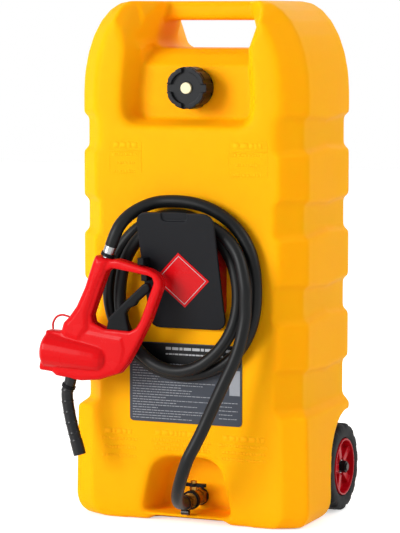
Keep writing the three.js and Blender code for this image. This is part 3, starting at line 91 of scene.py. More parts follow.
class Ends(Enum):
    """What becomes of a loft's first and last ring."""

    CAPPED = "capped"
    OPEN = "open"
    JOINED = "joined"


def linear(code: str) -> tuple[float, float, float, float]:
    """Turns an sRGB hex colour to linear light.

    Args:
        code: Six hex digits after a hash sign.

    Returns:
        Red, green, blue and an alpha of one.
    """
    parts = [int(code[i : i + 2], 16) / 255 for i in (1, 3, 5)]
    light = [p / 12.92 if p <= 0.04045 else ((p + 0.055) / 1.055) ** 2.4 for p in parts]
    return (light[0], light[1], light[2], 1.0)


def add_node(tree: bpy.types.NodeTree, kind: str, inputs: dict | None = None,
             **settings: object) -> bpy.types.Node:
    """Adds one shader node.

    Args:
        tree: The material's node tree.
        kind: The node's type name without its ShaderNode prefix.
        inputs: Socket name or number to a value, or to the output that feeds it.
        settings: The node's own properties.

    Returns:
        The new node.
    """
    made = tree.nodes.new("ShaderNode" + kind)
    for name, value in settings.items():
        setattr(made, name, value)
    for socket, value in (inputs or {}).items():
        if isinstance(value, bpy.types.NodeSocket):
            tree.links.new(value, made.inputs[socket])
        else:
            made.inputs[socket].default_value = value
    return made


def mix_colours(tree: bpy.types.NodeTree, share: Value, first: Value, second: Value) -> bpy.types.NodeSocket:
    """Mixes two colours by a share from 0 to 1, each a value or an output."""
    return add_node(tree, "Mix", {0: share, 6: first, 7: second}, data_type="RGBA").outputs[2]


@dataclass(frozen=True)
class Finish:
    """A material: its colour, gloss and the fine relief that its making leaves."""

    name: str
    colour: str
    roughness: float
    made: Made = Made.SMOOTH
    second_colour: str = ""
    mottle_mm: float = 60.0
    grain_mm: float = 1.6
    relief_mm: float = 0.05
    metallic: float = 0.0
    ior: float = 1.5
    specular: float = 0.25

    def material(self) -> bpy.types.Material:
        """Gives the material, built on its first use.

        Returns:
            The material, shared by all pieces of this finish.
        """
        found = bpy.data.materials.get(self.name)
        if found is not None:
            return found
        made = bpy.data.materials.new(self.name)
        made.use_nodes = True
        tree = made.node_tree
        shader = tree.nodes["Principled BSDF"]
        shader.inputs["Roughness"].default_value = self.roughness
        shader.inputs["Metallic"].default_value = self.metallic
        if not self.metallic:
            shader.inputs["IOR"].default_value = self.ior
            shader.inputs["Specular IOR Level"].default_value = self.specular
        place = add_node(tree, "TexCoord").outputs["Object"]
        self.dress(tree, shader, place)
        return made

    def dress(self, tree: bpy.types.NodeTree, shader: bpy.types.Node, place: bpy.types.NodeSocket) -> None:
        """Links colour, roughness and relief.

        Args:
            tree: The material's node tree.
            shader: Its Principled shader.
            place: Object coordinates, in metres.
        """
        patches = add_node(tree, "TexNoise", {"Vector": place, "Scale": 1 / (self.mottle_mm * MM),
                                             "Detail": PATCH_DETAIL})
        second = self.second_colour or self.colour
        tree.links.new(mix_colours(tree, patches.outputs[0], linear(self.colour), linear(second)),
                       shader.inputs["Base Color"])
        spread = add_node(tree, "MapRange", {0: patches.outputs[0], 1: PATCH_SPAN[0], 2: PATCH_SPAN[1],
                                             3: self.roughness + ROUGHNESS_SPAN[0],
                                             4: self.roughness + ROUGHNESS_SPAN[1]})
        tree.links.new(spread.outputs[0], shader.inputs["Roughness"])
        height = self.relief(tree, place)
        bump = add_node(tree, "Bump", {"Strength": BUMP_STRENGTH, "Distance": self.relief_mm * MM,
                                       "Height": height})
        tree.links.new(bump.outputs[0], shader.inputs["Normal"])

    def relief(self, tree: bpy.types.NodeTree, place: bpy.types.NodeSocket) -> bpy.types.NodeSocket:
        """Makes the fine surface texture, by how the piece was made.

        Args:
            tree: The material's node tree.
            place: Object coordinates, in metres.

        Returns:
            The texture's height.
        """
        scale = 1 / (self.grain_mm * MM)
        if self.made is Made.TURNED:
            stretched = add_node(tree, "Mapping", {0: place, 3: TOOL_MARK_STRETCH})
            marks = {"Vector": stretched.outputs[0], "Scale": scale, "Detail": MARK_DETAIL}
            return add_node(tree, "TexNoise", marks).outputs[0]
        if self.made is Made.CAST:
            return add_node(tree, "TexVoronoi", {"Vector": place, "Scale": scale}).outputs[0]
        detail = GRAIN_DETAIL if self.made is Made.GRAINED else SKIN_DETAIL
        return add_node(tree, "TexNoise", {"Vector": place, "Scale": scale, "Detail": detail}).outputs[0]


@dataclass(frozen=True)
class BlowMoulded(Finish):
    """Pigmented polyethylene off a blow mould: waxy, faintly dimpled, with light bleeding through its skin."""

    bleed: float = 0.5
    bleed_mm: float = 11.0
    bleed_colour: tuple = (1.0, 0.38, 0.05)

    def dress(self, tree: bpy.types.NodeTree, shader: bpy.types.Node, place: bpy.types.NodeSocket) -> None:
        """Adds the waxy bleed to the common relief.

        Args:
            tree: The material's node tree.
            shader: Its Principled shader.
            place: Object coordinates, in metres.
        """
        super().dress(tree, shader, place)
        shader.inputs["Subsurface Weight"].default_value = self.bleed
        shader.inputs["Subsurface Scale"].default_value = self.bleed_mm * MM
        shader.inputs["Subsurface Radius"].default_value = self.bleed_colour


@dataclass(frozen=True)
class Rubber(Finish):
    """Rubber: dark and soft, with a dry bloom on its high spots."""

    bloom: str = "#55575A"
    bloom_mm: float = 9.0
    bloom_from: float = 0.55
    bloom_full: float = 0.85
    bloom_share: float = 0.35

    def dress(self, tree: bpy.types.NodeTree, shader: bpy.types.Node, place: bpy.types.NodeSocket) -> None:
        """Adds the bloom over the common relief.

        Args:
            tree: The material's node tree.
            shader: Its Principled shader.
            place: Object coordinates, in metres.
        """
        super().dress(tree, shader, place)
        dust = add_node(tree, "TexNoise", {"Vector": place, "Scale": 1 / (self.bloom_mm * MM),
                                           "Detail": BLOOM_DETAIL})
        share = add_node(tree, "MapRange", {0: dust.outputs[0], 1: self.bloom_from, 2: self.bloom_full,
                                            3: 0.0, 4: self.bloom_share})
        under = shader.inputs["Base Color"].links[0].from_socket
        tree.links.new(mix_colours(tree, share.outputs[0], under, linear(self.bloom)), shader.inputs["Base Color"])


# High-density polyethylene, blow moulded: a waxy satin skin, orange where light is low, with a fine orange peel
TANK_PE = BlowMoulded("blow moulded yellow polyethylene", "#FFA706", 0.48, Made.GRAINED, second_colour="#FFAC09",
                      mottle_mm=110, grain_mm=1.8, relief_mm=0.08, specular=0.03)
# The same polyethylene where it is too thin for light to bleed: the low bars and ribs on the front
RELIEF_PE = Finish("raised yellow polyethylene", "#FFA90C", 0.48, Made.GRAINED, second_colour="#FFAD0F",
                   mottle_mm=110, grain_mm=1.8, relief_mm=0.08, specular=0.03)
# Polypropylene, injection moulded: near black, with a fine spark-eroded grain that scatters the highlights
BLACK_PP = Finish("injection moulded black polypropylene", "#101113", 0.36, Made.GRAINED, second_colour="#141517",
                  mottle_mm=30, grain_mm=0.9, relief_mm=0.05, specular=0.06)
# Polypropylene spout: drawn over a polished core, so it catches a narrow bright line along its side
SPOUT_PP = Finish("polished black polypropylene spout", "#101113", 0.30, Made.SMOOTH, second_colour="#151618",
                  mottle_mm=25, grain_mm=1.5, relief_mm=0.03, specular=0.24)
# Polypropylene plate: the same plastic with a coarser grain, so it looks drier and a little bluer
PLATE_PP = Finish("grained black polypropylene plate", "#0F1013", 0.48, Made.GRAINED, second_colour="#15161A",
                  mottle_mm=45, grain_mm=1.1, relief_mm=0.07, specular=0.14)
# Polypropylene cap: polished by hands on its ribs
CAP_PP = Finish("ribbed black polypropylene cap", "#111214", 0.34, Made.GRAINED, second_colour="#17181B",
                mottle_mm=20, grain_mm=0.8, relief_mm=0.04, specular=0.11)
# ABS, injection moulded in a polished tool: saturated red with a clean soft-edged gloss
RED_ABS = Finish("glossy red moulded ABS", "#C4080E", 0.26, Made.SMOOTH, second_colour="#CA0A10",
                 mottle_mm=50, grain_mm=3.0, relief_mm=0.03, specular=0.10)
# Polypropylene in dark crimson: smoother than the black parts, with a deep colour in the spokes' shade
CRIMSON_PP = Finish("crimson moulded polypropylene", "#B8091A", 0.30, Made.SMOOTH, second_colour="#AC0816",
                    mottle_mm=40, grain_mm=2.0, relief_mm=0.05, specular=0.12)
# Acetal: creamy and dense, a soft sheen without grain
IVORY_POM = Finish("ivory acetal", "#E2D6B0", 0.38, second_colour="#DBCDA4", mottle_mm=8, grain_mm=0.8)
# PTFE: matt white, slightly waxy
WHITE_PTFE = Finish("white fluoropolymer", "#E6E6E0", 0.45, second_colour="#DCDCD6", mottle_mm=8, grain_mm=0.8)
# Extruded nitrile hose: matt black with a soft long highlight and a faint grey bloom
HOSE_RUBBER = Rubber("smooth black hose rubber", "#0E0F10", 0.42, Made.GRAINED, second_colour="#131415",
                     mottle_mm=35, grain_mm=1.2, relief_mm=0.06, specular=0.17, bloom="#202123")
# Vulcanised tyre: drier and rougher than the hose, dusty on the tread edges
TYRE_RUBBER = Rubber("vulcanised tyre rubber", "#111213", 0.62, Made.GRAINED, second_colour="#18191A",
                     mottle_mm=16, grain_mm=1.0, relief_mm=0.10, specular=0.12, bloom="#2A2B2C")
# Nitrile seals: dull black
SEAL_RUBBER = Rubber("nitrile seal rubber", "#141516", 0.7, Made.GRAINED, mottle_mm=10, grain_mm=0.8)
# Brass, sand cast and turned: warm, with darker patches of tarnish between the tool marks
CAST_BRASS = Finish("turned and cast brass", "#B0813C", 0.30, Made.TURNED, second_colour="#7C5A28",
                    mottle_mm=7, grain_mm=0.6, relief_mm=0.05, metallic=1.0)
# Steel with bright zinc: cool and bright, with fine turning marks
ZINC_STEEL = Finish("zinc plated steel", "#A9ABAC", 0.26, Made.TURNED, second_colour="#8C8F92",
                    mottle_mm=6, grain_mm=0.5, relief_mm=0.03, metallic=1.0)
# Steel with a black oxide skin on the axle: dark, with a dull steel edge
BLACK_STEEL = Finish("black oxide steel", "#2E2C2B", 0.38, Made.TURNED, second_colour="#3A3633",
                     mottle_mm=5, grain_mm=0.5, relief_mm=0.03, metallic=1.0)
# Aluminium, die cast: greyer, with the frozen-flow mottle of the casting skin
DIE_CAST = Finish("die cast aluminium", "#B7BABD", 0.42, Made.CAST, second_colour="#A6A9AC",
                  mottle_mm=12, grain_mm=0.7, relief_mm=0.05, metallic=1.0)
# Vinyl film: satin blue-grey, flat and even
LABEL_VINYL = Finish("satin grey vinyl label", "#30343C", 0.42, Made.GRAINED, second_colour="#3C4049",
                     mottle_mm=60, grain_mm=0.8, relief_mm=0.02, specular=0.16)
# Black screen ink of the label's header: flatter and deeper than the vinyl round it
BLACK_INK = Finish("black printing ink", "#0C0D0F", 0.40, second_colour="#111214", mottle_mm=30, grain_mm=0.6,
                   specular=0.14)
# Pale screen ink of the titles and the tile's border: dry, a hair proud, never quite white
WHITE_INK = Finish("pale printing ink", "#B4B6B8", 0.5, second_colour="#A9ABAE", mottle_mm=4, grain_mm=0.5)
# The same ink in hairlines, thin enough for the vinyl to grey it
GREY_INK = Finish("grey printing ink", "#84878D", 0.5, second_colour="#8F9298", mottle_mm=4, grain_mm=0.5)
# Gloss vinyl of the tile: brighter than the moulded red, mirror-smooth
RED_VINYL = Finish("gloss red vinyl tile", "#C00A12", 0.24, second_colour="#C60D15", mottle_mm=30, grain_mm=1.0,
                   relief_mm=0.02, specular=0.18)


def ramp(share: float) -> float:
    """A share held between nought and one."""
    return max(0.0, min(1.0, share))


def settled(points: list[Point]) -> list[Vector]:
    """Millimetre points as vectors in metres."""
    return [Vector(p) * MM for p in points]


def new_piece(name: str, data: bpy.types.Mesh | bpy.types.Curve, finish: Finish, body: str, slot: str, *nodes: str,
              smooth: bool = True) -> bpy.types.Object:
    """Puts a mesh or curve in the scene as a piece that rides on a body.

    Args:
        name: The piece's name.
        data: Its mesh or curve, in the row frame.
        finish: What it is made of.
        body: The CAD body that carries it.
        slot: The CAD material that it stands for; not used.
        nodes: The CAD nodes that it stands in for, if any.
        smooth: Whether a mesh's faces shade smoothly.

    Returns:
        The new object.
    """
    data.materials.clear()
    data.materials.append(finish.material())
    if isinstance(data, bpy.types.Mesh):
        data.polygons.foreach_set("use_smooth", [smooth] * len(data.polygons))
    piece = bpy.data.objects.new(name, data)
    bpy.context.scene.collection.objects.link(piece)
    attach(piece, body)
    if nodes:
        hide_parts(*nodes)
    return piece


def tube(name: str, points: list[Vector], radius_mm: float, round_steps: int) -> bpy.types.Curve:
    """Sweeps a round section along a line.

    Args:
        name: The curve's name.
        points: The line's points, in metres.
        radius_mm: The section's radius.
        round_steps: Steps in a quarter of the section.

    Returns:
        The curve, capped at both ends.
    """
    data = bpy.data.curves.new(name, "CURVE")
    data.dimensions = "3D"
    data.bevel_depth = radius_mm * MM
    data.bevel_resolution = round_steps
    data.use_fill_caps = True
    line = data.splines.new("POLY")
    line.points.add(len(points) - 1)
    for dot, p in zip(line.points, points):
        dot.co = (*p, 1.0)
    line.use_smooth = True
    return data


def baked(piece: bpy.types.Object, name: str) -> bpy.types.Mesh:
    """Applies a piece's modifiers and takes the piece itself away.

    Args:
        piece: The piece, with its modifiers.
        name: The mesh's name.

    Returns:
        The finished mesh.
    """
    bpy.context.view_layer.update()
    graph = bpy.context.evaluated_depsgraph_get()
    mesh = bpy.data.meshes.new_from_object(piece.evaluated_get(graph))
    mesh.name = name
    bpy.data.objects.remove(piece)
    return mesh


def moulded(node: str, name: str, finish: Finish, body: str, slot: str, voxel_mm: float,
            rounds: int) -> bpy.types.Object:
    """Stands a moulding with softened edges in place of a CAD node.

    Args:
        node: The CAD node that gives the shape.
        name: The new piece's name.
        finish: What it is made of.
        body: The CAD body that carries it.
        slot: The CAD material that it stands for.
        voxel_mm: Grid of the even skin laid over the solid.
        rounds: Smoothing steps; more of them give a larger edge radius.

    Returns:
        The piece that replaces the node.
    """
    rough = bpy.data.objects.new(name + "_rough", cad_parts[node].data.copy())
    bpy.context.scene.collection.objects.link(rough)
    skin = rough.modifiers.new("skin", "REMESH")
    skin.mode = "VOXEL"
    skin.voxel_size = voxel_mm * MM
    soften = rough.modifiers.new("soften", "SMOOTH")
    soften.factor = SMOOTHING
    soften.iterations = rounds
    return new_piece(name, baked(rough, name), finish, body, slot, node)


def eased(node: str, finish: Finish, edge_mm: float = 0.4) -> None:
    """Finishes a CAD node that keeps its own shape, with a small eased edge.

    Args:
        node: The CAD node.
        finish: What it is made of.
        edge_mm: Width of the eased edge.
    """
    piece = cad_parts[node]
    piece.data.materials.clear()
    piece.data.materials.append(finish.material())
    ease = piece.modifiers.new("eased edge", "BEVEL")
    ease.width = edge_mm * MM
    ease.segments = EASE_STEPS
    ease.limit_method = "ANGLE"
    ease.angle_limit = EASE_ANGLE


def lofted(name: str, rings: list[list[Vector]], ends: Ends = Ends.CAPPED) -> bpy.types.Mesh:
    """Mesh through rings of equal counts.

    Args:
        name: The mesh's name.
        rings: The rings, in order.
        ends: Whether the first and last ring are capped, open or joined to each other.

    Returns:
        The mesh.
    """
    made = bmesh.new()
    rows = [[made.verts.new(p) for p in ring] for ring in rings]
    for low, high in zip(rows, rows[1:] + rows[:1] if ends is Ends.JOINED else rows[1:]):
        for i in range(len(low)):
            j = (i + 1) % len(low)
            made.faces.new((low[i], low[j], high[j], high[i]))
    if ends is Ends.CAPPED:
        made.faces.new(rows[0][::-1])
        made.faces.new(rows[-1])
    bmesh.ops.recalc_face_normals(made, faces=made.faces)
    mesh = bpy.data.meshes.new(name)
    made.to_mesh(mesh)
    made.free()
    return mesh


def joined(name: str, meshes: list[bpy.types.Mesh]) -> bpy.types.Mesh:
    """Puts several meshes in one.

    Args:
        name: The whole mesh's name.
        meshes: The meshes.

    Returns:
        The whole mesh.
    """
    made = bmesh.new()
    for mesh in meshes:
        made.from_mesh(mesh)
    whole = bpy.data.meshes.new(name)
    made.to_mesh(whole)
    made.free()
    return whole


def curve_through(points: list[Vector], steps: int) -> list[Vector]:
    """Centripetal curve through points.

    Args:
        points: The points, at least two.
        steps: Points made for each stretch.

    Returns:
        The curve's points, both ends included.
    """
    ends = [points[0] * 2 - points[1], *points, points[-1] * 2 - points[-2]]
    made = []
    for p0, p1, p2, p3 in zip(ends, ends[1:], ends[2:], ends[3:]):
        knots = [0.0]
        for a, b in ((p0, p1), (p1, p2), (p2, p3)):
            knots.append(knots[-1] + max((b - a).length, 1e-9) ** 0.5)
        t0, t1, t2, t3 = knots
        for k in range(steps):
            t = t1 + (t2 - t1) * k / steps
            a1 = p0 * ((t1 - t) / (t1 - t0)) + p1 * ((t - t0) / (t1 - t0))
            a2 = p1 * ((t2 - t) / (t2 - t1)) + p2 * ((t - t1) / (t2 - t1))
            a3 = p2 * ((t3 - t) / (t3 - t2)) + p3 * ((t - t2) / (t3 - t2))
            b1 = a1 * ((t2 - t) / (t2 - t0)) + a2 * ((t - t0) / (t2 - t0))
            b2 = a2 * ((t3 - t) / (t3 - t1)) + a3 * ((t - t1) / (t3 - t1))
            made.append(b1 * ((t2 - t) / (t2 - t1)) + b2 * ((t - t1) / (t2 - t1)))
    return [*made, points[-1].copy()]


def evened(points: list[Vector], step_mm: float) -> list[Vector]:
    """Spaces points evenly along a line.

    Args:
        points: The line's points, in metres.
        step_mm: About how far apart the new ones lie.

    Returns:
        The new points, both ends kept.
    """
    total = sum((b - a).length for a, b in zip(points, points[1:]))
    count = max(2, round(total / (step_mm * MM)))
    made, walked, i = [points[0].copy()], 0.0, 0
    for k in range(1, count):
        target = total * k / count
        while walked + (points[i + 1] - points[i]).length < target:
            walked += (points[i + 1] - points[i]).length
            i += 1
        span = (points[i + 1] - points[i]).length
        made.append(points[i].lerp(points[i + 1], (target - walked) / span))
    return [*made, points[-1].copy()]


def dashes(left: float, right: float, key: int, shortest: float, longest: float,
           gap: float) -> list[tuple[float, float]]:
    """Breaks a printed or raised line into plain bars of uneven length, the same ones on each run.

    Args:
        left: Where the line starts, in millimetres.
        right: Where it ends.
        key: A number that picks the row of lengths.
        shortest: The shortest bar.
        longest: The longest bar.
        gap: The space between two bars.

    Returns:
        Start and end of each bar.
    """
    made, at, i = [], left, 0
    while at + shortest < right:
        long = shortest + (key * 29 + i * 17 + i * i * 7) % 11 / 10 * (longest - shortest)
        made.append((at, min(at + long, right)))
        at += long + gap
        i += 1
    return made


def bar_on_front(left: float, low: float, right: float, high: float, y: float, proud: float,
                 cut: float) -> bpy.types.Mesh:
    """A flat bar that stands on a front face.

    Args:
        left: Its left end, in millimetres, as are the rest.
        low: Its lower edge.
        right: Its right end.
        high: Its upper edge.
        y: Where the face lies.
        proud: How far the bar stands out of it.
        cut: How far its edges slope in.

    Returns:
        The bar's mesh.
    """
    rows = []
    for depth, inset in ((y + BAR_SINK, 0.0), (y - proud, cut)):
        rows.append([Vector((x, depth, z)) * MM for x, z in (
            (left + inset, low + inset), (right - inset, low + inset),
            (right - inset, high - inset), (left + inset, high - inset))])
    return lofted("bar", rows)


@dataclass
class Studio:
    """Pale floor, soft lamps and the camera where the photograph was taken."""

    camera_place: Point = (1.5323, -3.7913, 0.8087)
    camera_tilt: Point = (84.35, 0.0, 22.4)
    lens_mm: float = 168.9
    sensor_mm: float = 36.0
    sight: float = 60.0
    # Where the lamps point, then each lamp's place, power in watts and width
    aim: Point = (0, 0, 0.42)
    lamps: list = field(default_factory=lambda: [
        ((-3.0, -4.6, 1.9), 320.0, 2.6),
        ((3.4, 0.2, 2.6), 56.0, 1.8),
        ((0.2, 2.6, 2.8), 30.0, 2.4),
    ])
    room_light: float = 0.44
    floor_half: float = 9.0
    floor_drop: float = 0.0003
    floor_roughness: float = 0.8
    floor_grey: str = "#F4F4F2"
    floor_glow: float = 0.55

    def camera(self) -> None:
        """Places the camera."""
        data = bpy.data.cameras.new("camera")
        data.lens = self.lens_mm
        data.sensor_width = self.sensor_mm
        data.clip_end = self.sight
        eye = bpy.data.objects.new("camera", data)
        eye.location = self.camera_place
        eye.rotation_euler = [math.radians(a) for a in self.camera_tilt]
        bpy.context.scene.collection.objects.link(eye)
        bpy.context.scene.camera = eye
        log.info("camera placed")

    def light(self) -> None:
        """Hangs the lamps and sets the room's light."""
        scene = bpy.context.scene
        scene.view_settings.view_transform = "Standard"
        target = Vector(self.aim)
        for i, (place, watts, size) in enumerate(self.lamps):
            data = bpy.data.lights.new(f"lamp_{i}", "AREA")
            data.energy = watts
            data.size = size
            lamp = bpy.data.objects.new(f"lamp_{i}", data)
            lamp.location = place
            lamp.rotation_euler = (target - Vector(place)).to_track_quat("-Z", "Y").to_euler()
            scene.collection.objects.link(lamp)
        world = bpy.data.worlds.new("room")
        world.use_nodes = True
        tree = world.node_tree
        seen = self.seen_directly(tree)
        strength = add_node(tree, "MapRange", {0: seen, 1: 0.0, 2: 1.0, 3: self.room_light, 4: 1.0})
        tree.links.new(strength.outputs[0], tree.nodes["Background"].inputs["Strength"])
        tree.nodes["Background"].inputs["Color"].default_value = WHITE
        scene.world = world
        log.info("lamps hung")

    def seen_directly(self, tree: bpy.types.NodeTree) -> bpy.types.NodeSocket:
        """Tells the rays that meet the white ground from those that light the object.

        Args:
            tree: The node tree of the world or floor.

        Returns:
            One for rays from the camera, from gloss and through glass, nought for the rest.
        """
        path = add_node(tree, "LightPath")
        gloss = add_node(tree, "Math", {0: path.outputs["Is Camera Ray"], 1: path.outputs["Is Glossy Ray"]},
                         operation="MAXIMUM")
        return add_node(tree, "Math", {0: gloss.outputs[0], 1: path.outputs["Is Transmission Ray"]},
                        operation="MAXIMUM").outputs[0]

    def floor(self) -> None:
        """Lays the pale floor, which keeps the object's shadow."""
        mesh = bpy.data.meshes.new("floor")
        r = self.floor_half
        mesh.from_pydata([(-r, -r, 0), (r, -r, 0), (r, r, 0), (-r, r, 0)], [], [(0, 1, 2, 3)])
        floor = bpy.data.objects.new("floor", mesh)
        floor.location.z = -self.floor_drop
        made = bpy.data.materials.new("pale floor")
        made.use_nodes = True
        tree = made.node_tree
        shader = tree.nodes["Principled BSDF"]
        shader.inputs["Base Color"].default_value = linear(self.floor_grey)
        shader.inputs["Roughness"].default_value = self.floor_roughness
        shader.inputs["Emission Color"].default_value = WHITE
        glow = add_node(tree, "Math", {0: self.seen_directly(tree), 1: self.floor_glow}, operation="MULTIPLY")
        tree.links.new(glow.outputs[0], shader.inputs["Emission Strength"])
        mesh.materials.append(made)
        bpy.context.scene.collection.objects.link(floor)
        log.info("floor laid")


@dataclass
class Hose:
    """Black rubber hose: one length from the foot valve, twice round the holder, to the nozzle."""

    diameter: float = 20.0
    # The bend at the valve leans to the right at this slope, reached over this length of hose
    bend: float = 90.0
    bend_steps: int = 5
    lean_slope: float = 0.42
    lean_ramp: float = 80.0
    curve_steps: int = 8
    step: float = 8.0
    round_steps: int = 8
    lead: float = 8.0
    coil_height: float = 380.0
    per_loop: int = 24
    start: Point = (0.0, -127.5, 35.0)
    run_route: list = field(default_factory=lambda: [
        (50.9, -223, 141.7), (62.6, -218.5, 167), (72.1, -212.5, 191.6), (81.1, -205.5, 215.6),
        (93.7, -197, 247.5), (105.8, -188.5, 278.6), (112.5, -182, 305), (118, -175, 345),
    ])
    run_end: Point = (118, -175, 369)
    # Radius and depth of the coil at each eighth of a turn
    stations: list = field(default_factory=lambda: [
        (118, -175), (118, -161.3), (114, -165.8), (106.5, -159.2), (104, -156.5), (117, -161.5), (128, -166),
        (110, -158), (96, -150), (99.5, -144.5), (118.5, -144.5), (124, -144.9), (129, -145.4), (133, -146.2),
        (137, -146.4), (134, -146.6), (125, -147), (136.5, -147.4), (141.5, -154),
    ])
    end_route: list = field(default_factory=lambda: [
        (-39, -158, 519.5), (-61, -167, 511.5), (-79, -177.5, 499), (-90, -187, 484.5),
    ])
    inlet_at: Point = (-106.009, -192, 444.993)
    inlet_to: Point = (-170.165, -192, 283.75)
    ferrule: float = 12.0
    seat: float = 0.3

    def station(self, place: float, column: int) -> float:
        """Gives a smooth value at a place between the coil's stations.

        Args:
            place: Eighths of a turn from the coil's start.
            column: Which value of a station, its radius or its depth.

        Returns:
            The value, in millimetres.
        """
        last = len(self.stations) - 1
        i = min(math.floor(place), last - 1)
        t = place - i

        def value(k: int) -> float:
            """The station's value, held at both ends."""
            return self.stations[max(0, min(last, k))][column]

        def slope(k: int) -> float:
            """The rise through a station."""
            return (value(k + 1) - value(k - 1)) / 2

        smooth = t * t * (3 - 2 * t)
        straight = value(i) + (value(i + 1) - value(i)) * smooth
        return straight + t * (1 - t) * ((1 - t) * slope(i) - t * slope(i + 1))

    def route(self) -> list[Vector]:
        """Lays the centre line out of the valve, up, round the holder and into the nozzle.

        Returns:
            Its points, in metres.
        """
        x, y, z = self.start
        guide = [(x, y, z), (x, y - self.lead, z)]
        for k in range(1, self.bend_steps + 1):
            angle = k / self.bend_steps * math.pi / 2
            along = self.bend * angle
            leant = along * along / self.lean_ramp / 2 if along < self.lean_ramp else along - self.lean_ramp / 2
            guide.append((self.lean_slope * leant, y - self.lead - self.bend * math.sin(angle),
                          z + self.bend * (1 - math.cos(angle))))
        guide += self.run_route
        guide += [self.run_end, (self.run_end[0], self.run_end[1], self.run_end[2] + self.diameter)]
        eighth = self.per_loop // 8
        for k in range(2, (len(self.stations) - 1) * eighth + 1):
            angle = k / eighth * math.pi / 4
            reach = self.station(k / eighth, 0)
            guide.append((reach * math.cos(angle), self.station(k / eighth, 1),
                          self.coil_height + reach * math.sin(angle)))
        guide += self.end_route
        axis = (Vector(self.inlet_to) - Vector(self.inlet_at)).normalized()
        end = Vector(self.inlet_at) - axis * (self.ferrule / 2 + self.seat)
        guide += [tuple(end - axis * self.diameter), tuple(end)]
        return evened(curve_through(settled(guide), self.curve_steps), self.step)

    def build(self) -> None:
        points = self.route()
        hose = new_piece("hose", tube("hose", points, self.diameter / 2, self.round_steps), HOSE_RUBBER, "caddy",
                         "black_rubber", "hose_lower_run", "hose_coil")


